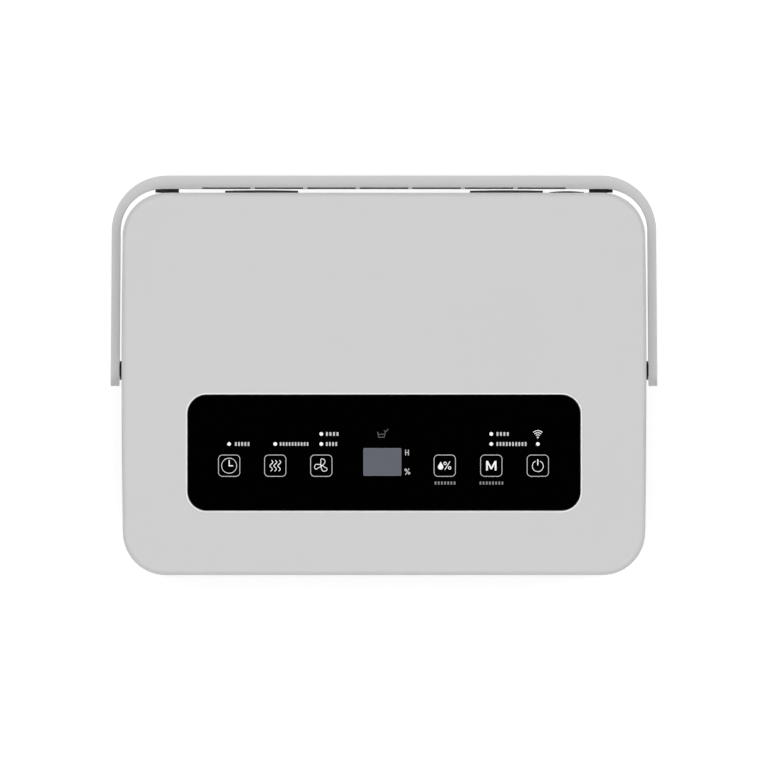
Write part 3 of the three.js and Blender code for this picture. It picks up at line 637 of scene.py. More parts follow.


# Dark grey rubber for the handle rests, set lighter as painted light that makes up for the shade they lie in.
def rest_rubber_painted_light():
    return moulding("rest_rubber_painted_light", colours().rest, 0.8, grain=RUBBER_GRAIN, depth=0.00004, spread=0.1)[0]


# Thin trim ring round the panel, its near-white colour a painted highlight for the light that its edge catches.
def rim_highlight_plastic():
    material, _, shader = moulding("rim_highlight_plastic", colours().rim, 0.22, depth=0.000004, spread=0.01)
    shader.inputs["Coat Weight"].default_value = 0.5
    return material


def panel_acrylic():
    """Black acrylic: almost clear of grain, with faint wiping marks in its gloss."""
    material, tree, shader, where = new_material("panel_acrylic")
    surface = place_group(tree, "grain", {"Vector": where, "Scale": 260.0, "Drift": 22.0})
    tinted = place_group(
        tree, "tint", {"Colour": rgba(colours().panel), "Tone": surface["Tone"], "Spread": 0.3}
    )
    stretched = add_node(tree, "ShaderNodeMapping", None, {"Vector": where, "Scale": (4.0, 60.0, 4.0)})
    wiped = add_node(tree, "ShaderNodeTexNoise", None, {"Vector": stretched.outputs["Vector"], "Scale": 5.0})
    rough = add_node(
        tree, "ShaderNodeMapRange", None, {"Value": wiped.outputs["Fac"], "To Min": 0.04, "To Max": 0.1}
    )
    tree.links.new(tinted["Colour"], shader.inputs["Base Color"])
    tree.links.new(rough.outputs["Result"], shader.inputs["Roughness"])
    shader.inputs["Specular IOR Level"].default_value = 0.3
    return material


def printed(name, base):
    """Screen-printed ink: an even colour with a slightly broken tone."""
    material, tree, shader, where = new_material(name)
    surface = place_group(tree, "grain", {"Vector": where, "Scale": 3200.0, "Drift": 120.0})
    tinted = place_group(tree, "tint", {"Colour": rgba(base), "Tone": surface["Tone"], "Spread": 0.06})
    bump = add_node(tree, "ShaderNodeBump", None, {"Height": surface["Height"], "Distance": 0.000004})
    tree.links.new(tinted["Colour"], shader.inputs["Base Color"])
    tree.links.new(bump.outputs["Normal"], shader.inputs["Normal"])
    shader.inputs["Roughness"].default_value = 0.5
    return material


def white_ink():
    return printed("white_ink", colours().ink)


def grey_ink():
    return printed("grey_ink", colours().key_ink)


def dim_ink():
    return printed("dim_ink", (0.2, 0.2, 0.2))


def faint_ink():
    return printed("faint_ink", (0.09, 0.09, 0.09))


def display_window(name, base):
    """The grey window of an unlit display, with the finest of dots in it."""
    material, tree, shader, where = new_material(name)
    surface = place_group(tree, "grain", {"Vector": where, "Scale": 1500.0, "Drift": 30.0})
    tinted = place_group(tree, "tint", {"Colour": rgba(base), "Tone": surface["Tone"], "Spread": 0.05})
    tree.links.new(tinted["Colour"], shader.inputs["Base Color"])
    shader.inputs["Roughness"].default_value = 0.35
    shader.inputs["Specular IOR Level"].default_value = 0.3
    return material


def display_grey():
    return display_window("display_grey", colours().display)


def display_edge():
    return display_window("display_edge", tuple(1.3 * value for value in colours().display))


def smoked_plastic():
    """Clear plastic with a grey smoke in it."""
    material, _, shader = moulding("smoked_plastic", colours().smoke, 0.24, depth=0.000008, spread=0.04)
    shader.inputs["Transmission Weight"].default_value = 0.7
    shader.inputs["IOR"].default_value = 1.49
    return material


def metal(name, base, roughness, stretch=(1.0, 1.0, 1.0), spread=0.06):
    """Bare metal, with drawing marks along one direction where it is stretched."""
    material, tree, shader, where = new_material(name)
    stretched = add_node(tree, "ShaderNodeMapping", None, {"Vector": where, "Scale": stretch})
    drawn = stretched.outputs["Vector"]
    surface = place_group(tree, "grain", {"Vector": drawn, "Scale": 900.0, "Drift": 18.0})
    tinted = place_group(tree, "tint", {"Colour": rgba(base), "Tone": surface["Tone"], "Spread": spread})
    rough = add_node(
        tree,
        "ShaderNodeMapRange",
        None,
        {"Value": surface["Tone"], "To Min": roughness - 0.08, "To Max": roughness + 0.08},
    )
    bump = add_node(tree, "ShaderNodeBump", None, {"Height": surface["Height"], "Distance": 0.00001})
    tree.links.new(tinted["Colour"], shader.inputs["Base Color"])
    tree.links.new(rough.outputs["Result"], shader.inputs["Roughness"])
    tree.links.new(bump.outputs["Normal"], shader.inputs["Normal"])
    shader.inputs["Metallic"].default_value = 1.0
    return material


def plated_steel():
    return metal("plated_steel", (0.55, 0.56, 0.57), 0.32, (1.0, 1.0, 12.0))


def copper():
    return metal("copper", (0.72, 0.36, 0.2), 0.3)


def black_paint():
    material, _, shader = moulding("black_paint", (0.01, 0.011, 0.012), 0.35, grain=500.0, spread=0.15)
    shader.inputs["Coat Weight"].default_value = 0.3
    return material


def striped(tree, where, axis, pitch):
    """A height that rises and falls along one axis with a pitch."""
    wave = add_node(
        tree,
        "ShaderNodeTexWave",
        {"bands_direction": axis, "wave_profile": "SIN"},
        {"Vector": where, "Scale": math.pi / (10 * pitch), "Distortion": 0.0},
    )
    return wave.outputs["Fac"]


def coil_fins():
    """Closely stacked aluminium fins, seen edge on."""
    material, tree, shader, where = new_material("coil_fins")
    stripes = striped(tree, where, "X", 0.0018)
    # The dark stripes are painted shade in the gaps between the fins; the light stripes are the fins' own metal.
    dark, bright = rgba((0.1, 0.11, 0.12)), rgba((0.75, 0.77, 0.79))
    mixed = add_node(tree, "ShaderNodeMixRGB", None, {"Fac": stripes, "Color1": dark, "Color2": bright})
    surface = place_group(tree, "grain", {"Vector": where, "Scale": 700.0})
    tinted = place_group(
        tree, "tint", {"Colour": mixed.outputs["Color"], "Tone": surface["Tone"], "Spread": 0.1}
    )
    bump = add_node(tree, "ShaderNodeBump", None, {"Height": stripes, "Distance": 0.0006})
    tree.links.new(tinted["Colour"], shader.inputs["Base Color"])
    tree.links.new(bump.outputs["Normal"], shader.inputs["Normal"])
    shader.inputs["Metallic"].default_value = 0.9
    shader.inputs["Roughness"].default_value = 0.4
    return material


def filter_mesh():
    """Dark nylon net: crossed threads."""
    material, tree, shader, where = new_material("filter_mesh")
    weft = striped(tree, where, "X", 0.0012)
    warp = striped(tree, where, "Z", 0.0012)
    threads = math_node(tree, "MAXIMUM", weft, warp)
    dark, pale = rgba((0.012, 0.012, 0.013)), rgba((0.09, 0.092, 0.097))
    mixed = add_node(tree, "ShaderNodeMixRGB", None, {"Fac": threads, "Color1": dark, "Color2": pale})
    surface = place_group(tree, "grain", {"Vector": where, "Scale": 1500.0})
    tinted = place_group(
        tree, "tint", {"Colour": mixed.outputs["Color"], "Tone": surface["Tone"], "Spread": 0.2}
    )
    bump = add_node(tree, "ShaderNodeBump", None, {"Height": threads, "Distance": 0.0004})
    tree.links.new(tinted["Colour"], shader.inputs["Base Color"])
    tree.links.new(bump.outputs["Normal"], shader.inputs["Normal"])
    shader.inputs["Roughness"].default_value = 0.8
    return material


def circuit_board():
    """Green solder mask with traces under it."""
    material, tree, shader, where = new_material("circuit_board")
    cells = add_node(
        tree, "ShaderNodeTexVoronoi", {"distance": "MANHATTAN"}, {"Vector": where, "Scale": 240.0}
    )
    trace = math_node(tree, "GREATER_THAN", cells.outputs["Distance"], 0.55)
    mask, line = rgba((0.012, 0.08, 0.035)), rgba((0.03, 0.16, 0.07))
    mixed = add_node(tree, "ShaderNodeMixRGB", None, {"Fac": trace, "Color1": mask, "Color2": line})
    surface = place_group(tree, "grain", {"Vector": where, "Scale": 900.0})
    tinted = place_group(
        tree, "tint", {"Colour": mixed.outputs["Color"], "Tone": surface["Tone"], "Spread": 0.15}
    )
    tree.links.new(tinted["Colour"], shader.inputs["Base Color"])
    shader.inputs["Roughness"].default_value = 0.35
    return material


def finish(maker):
    """A material, made the first time that it is asked for."""
    if maker not in MATERIALS:
        MATERIALS[maker] = maker()
    return MATERIALS[maker]


CAD_FINISHES = {
    "shell": shell_plastic,
    "dark_trim": dark_plastic,
    "panel_black": panel_acrylic,
    "rim_white": pale_plastic,
    "rubber": matt_rubber,
    "hub_black": hub_plastic,
    "tank_smoke": smoked_plastic,
    "inner_plastic": inner_plastic,
    "filter_mesh": filter_mesh,
    "steel": plated_steel,
    "black_paint": black_paint,
    "coil_fins": coil_fins,
    "copper": copper,
    "circuit_board": circuit_board,
}


# ------------------------------------------------------------------ printed marks
PRINT = 0.00003  # thickness of a printed line


class Ink:
    """Collects printed marks in one mesh; each stroke lies a hair above the one before."""

    def __init__(self, centre, width):
        self.bm = bmesh.new()
        self.centre = centre
        self.width = width
        self.low = GLASS_TOP + 0.000005

    def _rise(self):
        self.low += 0.000001
        return self.low

    def _at(self, x, y):
        return self.centre[0] + x, self.centre[1] + y

    def plate(self, outline):
        """A filled shape."""
        low = self._rise()
        placed = [self._at(x, y) for x, y in outline]
        add_loft(self.bm, [level(placed, low), level(placed, low + PRINT)])

    def dot(self, centre, radius):
        self.plate(arc(centre, radius, 0, 360, 28)[:-1])

    def line(self, points, closed=False, width=None, square=False):
        """A line through points: closed, or with round or square ends."""
        half = (width or self.width) / 2
        low = self._rise()
        count = len(points)
        sections = []
        for i, point in enumerate(points):
            before = points[i - 1] if closed or i else point
            after = points[(i + 1) % count] if closed or i < count - 1 else point
            into = (Vector(point) - Vector(before)).to_2d()
            out = (Vector(after) - Vector(point)).to_2d()
            if into.length < 1e-9:
                into = out
            if out.length < 1e-9:
                out = into
            along = (into.normalized() + out.normalized()).normalized()
            miter = 1 / max(0.5, along.dot(out.normalized()))
            across = Vector((-along.y, along.x)) * half * miter
            sections.append((Vector(point), across, along))
        if not closed and not square:
            sections = self._round_ends(sections, half)
        rows = []
        for middle, across, _ in sections:
            left = self._at(*(middle + across))
            right = self._at(*(middle - across))
            corners = [(*left, low), (*right, low), (*right, low + PRINT), (*left, low + PRINT)]
            rows.append([self.bm.verts.new(corner) for corner in corners])
        pairs = list(zip(rows, rows[1:]))
        if closed:
            pairs.append((rows[-1], rows[0]))
        for one, two in pairs:
            for i in range(4):
                j = (i + 1) % 4
                self.bm.faces.new((one[i], one[j], two[j], two[i]))
        if not closed:
            self.bm.faces.new(rows[0])
            self.bm.faces.new(rows[-1])

    @staticmethod
    def _round_ends(sections, half):
        turns = [math.radians(a) for a in (80, 60, 40, 20)]

        def rounded(section, side, a):
            middle, across, along = section
            return middle + along * (side * half * math.sin(a)), across * math.cos(a), along

        start = [rounded(sections[0], -1, a) for a in turns]
        end = [rounded(sections[-1], 1, a) for a in reversed(turns)]
        return start + sections + end

    def ring(self, centre, radius, width=None):
        self.line(arc(centre, radius, 0, 360, 40)[:-1], closed=True, width=width)

    def piece(self, name, material):
        """The collected marks as one piece on the cabinet."""
        made = mesh_object(name, self.bm)
        place(made, "cabinet", "rim_white", material)


def spline(points, steps=6):
    """A smooth closed curve through points."""
    count = len(points)
    curve = []
    for i in range(count):
        a, b, c, d = (Vector(points[(i + k) % count]) for k in (-1, 0, 1, 2))
        for step in range(steps):
            t = step / steps
            curve.append(
                0.5
                * (2 * b + (c - a) * t + (2 * a - 5 * b + 4 * c - d) * t**2 + (3 * b - a - 3 * c + d) * t**3)
            )
    return [(point.x, point.y) for point in curve]


def clock_symbol(ink):
    ink.ring((0, 0), 5.05 * MM, 0.32 * MM)
    ink.line([(0, 3.8 * MM), (0, -0.1 * MM), (2.7 * MM, -0.1 * MM)], width=0.7 * MM, square=True)


def airing_symbol(ink):
    """Three upright waves side by side."""
    for middle in (-2.65, 0, 2.65):
        wave = []
        for i in range(25):
            t = i / 24
            sway = 0.9 * math.sin(3 * math.pi * t) - 0.5 * (t - 0.5)
            wave.append(((middle + sway) * MM, (3.5 - 7 * t) * MM))
        ink.line(wave, width=0.48 * MM)


def fan_symbol(ink):
    """Three outlined blades, each swept round the hub."""
    blade = [(0.7, -42), (2.3, -26), (3.8, -14), (4.55, 6), (4.6, 24)]
    blade += [(3.9, 34), (2.7, 33), (1.6, 42), (0.8, 62)]
    for turn in (62, 182, 302):
        polar = [(radius * MM, math.radians(angle + turn)) for radius, angle in blade]
        ink.line(spline([(r * math.cos(a), r * math.sin(a)) for r, a in polar]), closed=True)


def percent(ink, centre, size, width):
    """A percent sign of a height."""
    x, y = centre
    ink.line([(x - 0.3 * size, y - 0.48 * size), (x + 0.3 * size, y + 0.48 * size)], width=width)
    ink.ring((x - 0.27 * size, y + 0.27 * size), 0.15 * size, width)
    ink.ring((x + 0.27 * size, y - 0.27 * size), 0.15 * size, width)


def humidity_symbol(ink):
    """A solid drop and a percent sign."""
    bowl = arc((-2.75 * MM, -0.85 * MM), 1.8 * MM, -215, 35, 20)
    ink.plate([(-2.75 * MM, 2.7 * MM), *bowl])
    percent(ink, (1.75 * MM, 0.05 * MM), 5.6 * MM, 0.5 * MM)


def mode_symbol(ink):
    outline = [(-3.45, -3.2), (-3.45, 3.2), (-2.2, 3.2), (0, -1.0), (2.2, 3.2), (3.45, 3.2), (3.45, -3.2)]
    outline += [(2.3, -3.2), (2.3, 1.15), (0.45, -2.4), (-0.45, -2.4), (-2.3, 1.15), (-2.3, -3.2)]
    ink.plate([(x * MM, y * MM) for x, y in outline])


def power_symbol(ink):
    ink.line(arc((0, -0.3 * MM), 3.65 * MM, 118, 422, 40))
    ink.line([(0, 0.5 * MM), (0, 4.0 * MM)], width=0.7 * MM)


def signal_symbol(ink):
    """Three arcs over a dot."""
    foot = (0, -2.3 * MM)
    ink.dot(foot, 0.55 * MM)
    for radius in (1.75, 3.15, 4.55):
        ink.line(arc(foot, radius * MM, 50, 130, 14), width=0.5 * MM)


def tank_symbol(ink):
    """A small pail with a tick."""
    pail = ((-2.9, 1.2), (-2.3, -2.2), (1.5, -2.2), (2.1, 1.2))
    water = ((-2.4, -0.2), (1.6, -0.2))
    tick = ((1.5, 2.2), (2.4, 1.4), (4.0, 3.2))
    for points in (pail, water, tick):
        ink.line([(x * MM, y * MM) for x, y in points], width=0.5 * MM)


# Keys from left to right, each with its place across and its symbol.
KEYS = (
    ("timer", -0.1035, clock_symbol),
    ("airing", -0.0727, airing_symbol),
    ("fan", -0.0419, fan_symbol),
    ("humidity", 0.0406, humidity_symbol),
    ("mode", 0.0717, mode_symbol),
    ("power", 0.1028, power_symbol),
)
KEY_Y = MIDDLE_Y - 0.0546
KEY_CORNER = 0.0027
LOWER_LAMPS = MIDDLE_Y - 0.0401
UPPER_LAMPS = MIDDLE_Y - 0.0334
# Plain rows of blocks in the place of words: left end, middle, width and height.
WORDS = (
    (-0.1001, LOWER_LAMPS, 0.0106, 0.0026),
    (-0.0701, LOWER_LAMPS, 0.0200, 0.0024),
    (-0.0393, UPPER_LAMPS, 0.0094, 0.0025),
    (-0.0393, LOWER_LAMPS, 0.0084, 0.0026),
    (0.0747, UPPER_LAMPS, 0.0092, 0.0025),
    (0.0747, LOWER_LAMPS, 0.0210, 0.0026),
)
HINTS = ((0.0334, MIDDLE_Y - 0.0662, 0.0148, 0.0021), (0.0634, MIDDLE_Y - 0.0662, 0.0168, 0.0021))


def block_row(ink, left, middle, width, height):
    """A row of plain blocks, broken where a word would be."""
    pitch, filled, corner = 0.0021, 0.55, 0.0003
    count = max(3, round(width / pitch))
    step = width / count
    for i in range(count):
        at = (left + (i + 0.5) * step, middle)
        ink.plate(rounded_rectangle(step * filled, height, corner, at, 3))


# ------------------------------------------------------------------ operators
class BuildStage(bpy.types.Operator):
    """Camera straight above, pale floor, soft light from all sides and a dim patch overhead."""

    bl_idname = "dehumidifier.stage"
    bl_label = "Stage"

    def execute(self, context):
        scene = bpy.context.scene
        scene.view_settings.view_transform = "Standard"
        set_up = studio()
        data = bpy.data.cameras.new("camera")
        data.sensor_width = 36.0
        data.lens = data.sensor_width * set_up.camera_rise / set_up.view_width
        camera = bpy.data.objects.new("camera", data)
        camera.location = (0.0, MIDDLE_Y, TOP + set_up.camera_rise)
        scene.collection.objects.link(camera)
        scene.camera = camera
        self.floor()
        self.sky()
        self.softboxes()
        return {"FINISHED"}

    def floor(self):
        bm = bmesh.new()
        bmesh.ops.create_grid(bm, x_segments=8, y_segments=8, size=FLOOR_SIZE)
        floor = mesh_object("floor", bm)
        floor.location.z = -FLOOR_DROP
        material, tree, shader, where = new_material("floor")
        surface = place_group(tree, "grain", {"Vector": where, "Scale": 90.0, "Drift": 1.5})
        tinted = place_group(
            tree, "tint", {"Colour": rgba((0.8, 0.8, 0.8)), "Tone": surface["Tone"], "Spread": 0.02}
        )
        tree.links.new(tinted["Colour"], shader.inputs["Base Color"])
        shader.inputs["Roughness"].default_value = 0.9
        shader.inputs["Specular IOR Level"].default_value = 0.1
        shader.inputs["Emission Color"].default_value = (1.0, 1.0, 1.0, 1.0)
        shader.inputs["Emission Strength"].default_value = studio().floor_glow
        floor.data.materials.append(material)

    def sky(self):
        world = bpy.data.worlds.new("studio")
        bpy.context.scene.world = world
        world.use_nodes = True
        tree = world.node_tree
        tree.nodes.clear()
        where = add_node(tree, "ShaderNodeTexCoord").outputs["Generated"]
        up = add_node(tree, "ShaderNodeSeparateXYZ", None, {"Vector": where}).outputs["Z"]
        ramp = add_node(tree, "ShaderNodeValToRGB", None, {"Fac": up})
        stops = ramp.color_ramp.elements
        low, high = studio().horizon, studio().sky
        for place_up, grey in ((0.0, low), (0.08, low), (0.22, high), (0.8, high), (0.96, 0.008)):
            stop = stops[0] if place_up == 0.0 else stops.new(place_up)
            stop.color = (grey, grey, grey, 1.0)
        stops.remove(stops[-1])
        shade = add_node(tree, "ShaderNodeBackground", None, {"Color": ramp.outputs["Color"]})
        output = add_node(tree, "ShaderNodeOutputWorld")
        tree.links.new(shade.outputs["Background"], output.inputs["Surface"])

    def softboxes(self):
        set_up = studio()
        target = Vector((0.0, MIDDLE_Y, TOP / 2))
        for name, azimuth in (("right", 35), ("rear", 125), ("left", 215), ("front", 305)):
            data = bpy.data.lights.new("softbox_" + name, "AREA")
            data.shape = "SQUARE"
            data.size = set_up.softbox_size
            data.energy = set_up.softbox_power
            lamp = bpy.data.objects.new("softbox_" + name, data)
            turn, rise = math.radians(azimuth), set_up.softbox_rise
            away = Vector((math.cos(turn) * math.cos(rise), math.sin(turn) * math.cos(rise), math.sin(rise)))
            lamp.location = target + away * set_up.softbox_distance
            lamp.rotation_mode = "QUATERNION"
            lamp.rotation_quaternion = (-away).to_track_quat("-Z", "Y")
            bpy.context.scene.collection.objects.link(lamp)


def around(bounds, grow):
    """(width, depth, centre) of a box seen from above, grown on every side."""
    low, high = bounds
    width = high[0] - low[0] + 2 * grow
    depth = high[1] - low[1] + 2 * grow
    return width, depth, ((low[0] + high[0]) / 2, (low[1] + high[1]) / 2)


class BuildTopCover(bpy.types.Operator):
    """Top cover: crowned, with a round edge, a lip inside the casings and the panel's recess."""

    bl_idname = "dehumidifier.top_cover"
    bl_label = "Top cover"

    def execute(self, context):
        s = sizes()
        ceiling = TOP - 0.004
        lip = s.wall + GAP
        hidden = lip + 0.002
        shoulder = TOP - s.crown_drop
        loops = [(hidden, ceiling), (hidden, COVER[0][2]), (lip, COVER[0][2]), (lip, COVER_SEAM)]
        bevel = 0.3 * s.edge
        loops += [(s.edge, COVER_SEAM), (bevel, COVER_SEAM + bevel), (0.0, COVER_SEAM + s.edge)]
        steps = 10
        for i in range(steps + 1):
            a = math.pi / 2 * i / steps
            inset = s.top_fillet * (1 - math.cos(a))
            loops.append((inset, shoulder - s.top_fillet * (1 - math.sin(a))))
        for i in range(1, 6):
            t = i / 6
            inset = s.top_fillet + (s.crown_inset - s.top_fillet) * t
            loops.append((inset, shoulder + s.crown_drop * t**0.9))
        loops.append((s.crown_inset, TOP))
        cover = loft("top_cover_finish", [level(cabinet_outline(inset), z) for inset, z in loops])
        width, depth, centre = around(RIM, GAP)
        recess = rounded_rectangle(width, depth, s.panel_radius + 0.0014, centre)
        low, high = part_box("display_module")
        room = 2 * GAP
        window = ((low.x - room, low.y - room, ceiling - 2 * OVER), (high.x + room, high.y + room, TOP))
        cut(cover, prism("recess", recess, GLASS[0][2] - GAP, TOP + OVER), block("window", *window))
        clean(cover)
        smooth(cover, 24)
        place(cover, "cabinet", "shell", finish(shell_plastic), "top_cover")
        return {"FINISHED"}


class BuildPanel(bpy.types.Operator):
    """Control panel: black glass, the light line round it and the display window."""

    bl_idname = "dehumidifier.panel"
    bl_label = "Control panel"

    def execute(self, context):
        s = sizes()
        width, depth, centre = around(GLASS, 0.0)
        edge = 0.0003
        profile = [(0.0, GLASS[0][2]), (0.0, GLASS_TOP - edge)]
        profile += [(0.3 * edge, GLASS_TOP - 0.3 * edge), (edge, GLASS_TOP)]
        loops = []
        for inset, z in profile:
            outline = rounded_rectangle(width - 2 * inset, depth - 2 * inset, s.panel_radius - inset, centre)
            loops.append(level(outline, z))
        glass = loft("panel_glass_finish", loops)
        smooth(glass, 24)
        place(glass, "cabinet", "panel_black", finish(panel_acrylic), "panel_glass")
        self.rim()
        self.display()
        return {"FINISHED"}

    def rim(self):
        """A ring of half-round section: its loops run round the section and are joined end to end."""
        s = sizes()
        lap, thick = 0.00025, 0.00105
        width, depth, centre = around(RIM, lap)
        radius = s.panel_radius + RIM[1][0] - GLASS[1][0] + lap
        low, high = RIM[0][2], RIM[1][2]
        section = [(0.0, low), (0.0, high - 0.12 * thick), (0.04 * thick, high - 0.04 * thick)]
        section += [(0.12 * thick, high), (0.88 * thick, high), (0.96 * thick, high - 0.04 * thick)]
        section += [(thick, high - 0.12 * thick), (thick, low)]
        bm = bmesh.new()
        rows = []
        for inset, z in section:
            outline = rounded_rectangle(width - 2 * inset, depth - 2 * inset, radius - inset, centre)
            rows.append([bm.verts.new(point) for point in level(outline, z)])
        for one, two in zip(rows, rows[1:] + rows[:1]):
            count = len(one)
            for i in range(count):
                j = (i + 1) % count
                bm.faces.new((one[i], one[j], two[j], two[i]))
        rim = mesh_object("panel_rim_finish", bm)
        smooth(rim, 30)
        place(rim, "cabinet", "rim_white", finish(rim_highlight_plastic), "panel_rim")

    def display(self):
        """The window of the unlit display, a shade lighter along its edge."""
        low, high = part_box("display_module")
        centre = ((low.x + high.x) / 2 - 0.0011, (low.y + high.y) / 2)
        floor = GLASS_TOP + 0.000004
        edge = prism(
            "display_edge", rounded_rectangle(0.0254, 0.0185, 0.0007, centre, 5), floor, floor + 0.00001
        )
        place(edge, "cabinet", "panel_black", finish(display_edge))
        window = prism(
            "display_window", rounded_rectangle(0.0246, 0.0177, 0.0004, centre, 5), floor, floor + 0.00002
        )
        place(window, "cabinet", "panel_black", finish(display_grey))


class BuildKeys(bpy.types.Operator):
    """Touch keys: a printed outline and a symbol each."""

    bl_idname = "dehumidifier.keys"
    bl_label = "Touch keys"

    def execute(self, context):
        s = sizes()
        side = s.key_size - s.key_line
        for name, x, symbol in KEYS:
            outline = Ink((x, KEY_Y), s.key_line)
            outline.line(rounded_rectangle(side, side, KEY_CORNER), closed=True)
            outline.piece("key_outline_" + name, finish(grey_ink))
            mark = Ink((x, KEY_Y), s.print_line)
            symbol(mark)
            mark.piece("key_symbol_" + name, finish(white_ink))
        return {"FINISHED"}


class BuildLegends(bpy.types.Operator):
    """Lamps, small signs and plain block rows over and beside the keys."""

    bl_idname = "dehumidifier.legends"
    bl_label = "Lamps and legends"

    def execute(self, context):
        s = sizes()
        across = {name: x for name, x, _ in KEYS}
        lamps = Ink((0.0, 0.0), s.print_line)
        for name in ("timer", "airing", "fan", "mode", "power"):
            lamps.dot((across[name], LOWER_LAMPS), s.lamp_radius)
        for name in ("fan", "mode"):
            lamps.dot((across[name], UPPER_LAMPS), s.lamp_radius)
        lamps.piece("indicator_lamps", finish(white_ink))
        signal = Ink((across["power"], UPPER_LAMPS), s.print_line)
        signal_symbol(signal)
        signal.piece("signal_symbol", finish(white_ink))
        words = Ink((0.0, 0.0), s.print_line)
        for word in WORDS:
            block_row(words, *word)
        words.piece("lamp_legends", finish(grey_ink))
        hints = Ink((0.0, 0.0), s.print_line)
        for hint in HINTS:
            block_row(hints, *hint)
        hints.piece("key_hints", finish(dim_ink))
        units = Ink((0.0154, 0.0), s.print_line)
        top, bottom = MIDDLE_Y - 0.0458, MIDDLE_Y - 0.0585
        for side in (-1, 1):
            units.line([(side * 0.00095, top - 0.0017), (side * 0.00095, top + 0.0017)], width=0.00055)
        units.line([(-0.0009, top), (0.0009, top)], width=0.0005)
        percent(units, (0.0002, bottom), 0.0040, 0.00052)
        units.piece("display_units", finish(grey_ink))
        pail = Ink((-0.0013, MIDDLE_Y - 0.0334), s.print_line)
        tank_symbol(pail)
        pail.piece("tank_symbol", finish(faint_ink))
        return {"FINISHED"}


def handle_plan():
    """The bail handle's outline from above, and its inner line, as one closed loop."""
    s = sizes()
    out, inside = BAIL[1][0], BAIL[1][0] - s.arm_thickness
    end = BAIL[0][1] - OVER
    rear = BAIL[1][1] - s.handle_corner
    inner = s.handle_corner - s.bar_thickness
    near, near_in = out - s.arm_taper, inside - s.arm_taper
    outer = [(out, end), *arc((near - s.handle_corner, rear), s.handle_corner, 0, 90, 24)]
    outer += [*arc((-near + s.handle_corner, rear), s.handle_corner, 90, 180, 24), (-out, end)]
    hollow = [(-inside, end), *arc((-near_in + inner, rear), inner, 180, 90, 24)]
    hollow += [*arc((near_in - inner, rear), inner, 90, 0, 24), (inside, end)]
    return outer + hollow


def side_profile():
    """The handle from the side: round at its pivot, straight to the bar."""
    high, low = BAIL[1][2], BAIL[0][2]
    radius = (high - low) / 2
    back = BAIL[1][1] + 2 * OVER
    return [(back, low), (back, high), *arc((PIVOT[1], PIVOT[2]), radius, 90, 270, 36)]


def crosswise(outline, x):
    """An outline of (y, z) points, stood up at a place across."""
    return [Vector((x, y, z)) for y, z in outline]


def upright(outline, y):
    """An outline of (x, z) points, stood up at a depth."""
    return [Vector((x, y, z)) for x, z in outline]


def upright_prism(name, outline, front, back):
    return loft(name, [upright(outline, front), upright(outline, back)])


class BuildHandle(bpy.types.Operator):
    """Bail handle: two arms round at their pivots, and a bar with seven moulded cells inside."""

    bl_idname = "dehumidifier.handle"
    bl_label = "Bail handle"

    def execute(self, context):
        s = sizes()
        handle = prism("handle_finish", handle_plan(), BAIL[0][2], BAIL[1][2])
        reach = HALF_WIDTH + 0.02
        profile = side_profile()
        combine(handle, loft("sides", [crosswise(profile, -reach), crosswise(profile, reach)]), "INTERSECT")
        inside = BAIL[1][1] - s.bar_thickness
        half = (s.channel_pitch - s.channel_rib) / 2
        middle_z = (BAIL[0][2] + BAIL[1][2]) / 2
        flange = (middle_z + s.channel_height / 2 - OVER, BAIL[1][2] + OVER)
        cells, notches = bmesh.new(), []
        for i in range(-3, 4):
            across = i * s.channel_pitch
            cell = rounded_rectangle(2 * half, s.channel_height, 0.0016, (across, middle_z), 4)
            add_loft(cells, [upright(cell, inside - OVER), upright(cell, inside + s.channel_depth)])
            corner = (across - half, inside - OVER, flange[0])
            notches.append((corner, (across + half, inside + s.flange_setback, flange[1])))
        cut(handle, mesh_object("cells", cells), blocks("notches", notches))
        at, hole, seat = on_axis(PIVOT, "x"), PIVOT_PIN + GAP, PIVOT_CAP + GAP
        caps = bmesh.new()
        for side in (-1, 1):
            near = side * (BAIL[1][0] - 0.0020)
            add_turned(caps, [(near, seat), (side * reach, seat)], at, "x", 40)
        cut(handle, rod("bore", (-reach, reach), hole, at, "x", 40), mesh_object("caps", caps))
        soften(handle, s.handle_edge, 3, 34)
        place(handle, "handle", "shell", finish(shell_plastic), "handle_bail")
        return {"FINISHED"}


def mirrored_profile(profile, side):
    """A turned profile along X for the left or the right side."""
    return [(side * along, radius) for along, radius in profile]


class BuildPivots(bpy.types.Operator):
    """The hubs that the handle turns on, and the caps over their ends."""

    bl_idname = "dehumidifier.pivots"
    bl_label = "Handle pivots"

    def execute(self, context):
        at = on_axis(PIVOT, "x")
        for name, side in (("left", -1), ("right", 1)):
            hub_box = plain(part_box("pivot_hub_" + name))
            ends = sorted(abs(corner[0]) for corner in hub_box)
            arm = BAIL[1][0] - sizes().arm_thickness - GAP
            bevel, flange, neck, pin = 0.0004, 0.0076, PIVOT_NECK, PIVOT_PIN
            step = ends[0] + 0.004
            profile = [(ends[0], flange - bevel), (ends[0] + bevel, flange), (step - bevel, flange)]
            profile += [(step, flange - bevel), (step, neck), (arm - bevel, neck), (arm, neck - bevel)]
            profile += [(arm, pin), (ends[1] - bevel, pin), (ends[1], pin - bevel)]
            hub = turned("pivot_hub_finish_" + name, mirrored_profile(profile, side), at, "x")
            smooth(hub)
            place(hub, "cabinet", "hub_black", finish(hub_plastic), "pivot_hub_" + name)
            face = BAIL[1][0]
            cap = PIVOT_CAP
            profile = [(face - 0.0014, cap - 0.0002), (face - 0.0012, cap), (face - 0.0003, cap)]
            profile += [(face - 0.00006, cap - 0.0003), (face, cap - 0.0008), (face, 0.0052)]
            profile += [(face - 0.0002, 0.0049), (face - 0.0002, 0.0012), (face, 0.0009), (face, 0.0004)]
            cover = turned("pivot_cap_finish_" + name, mirrored_profile(profile, side), at, "x")
            smooth(cover)
            place(cover, "cabinet", "dark_trim", finish(dark_plastic), "pivot_cap_" + name)
        return {"FINISHED"}


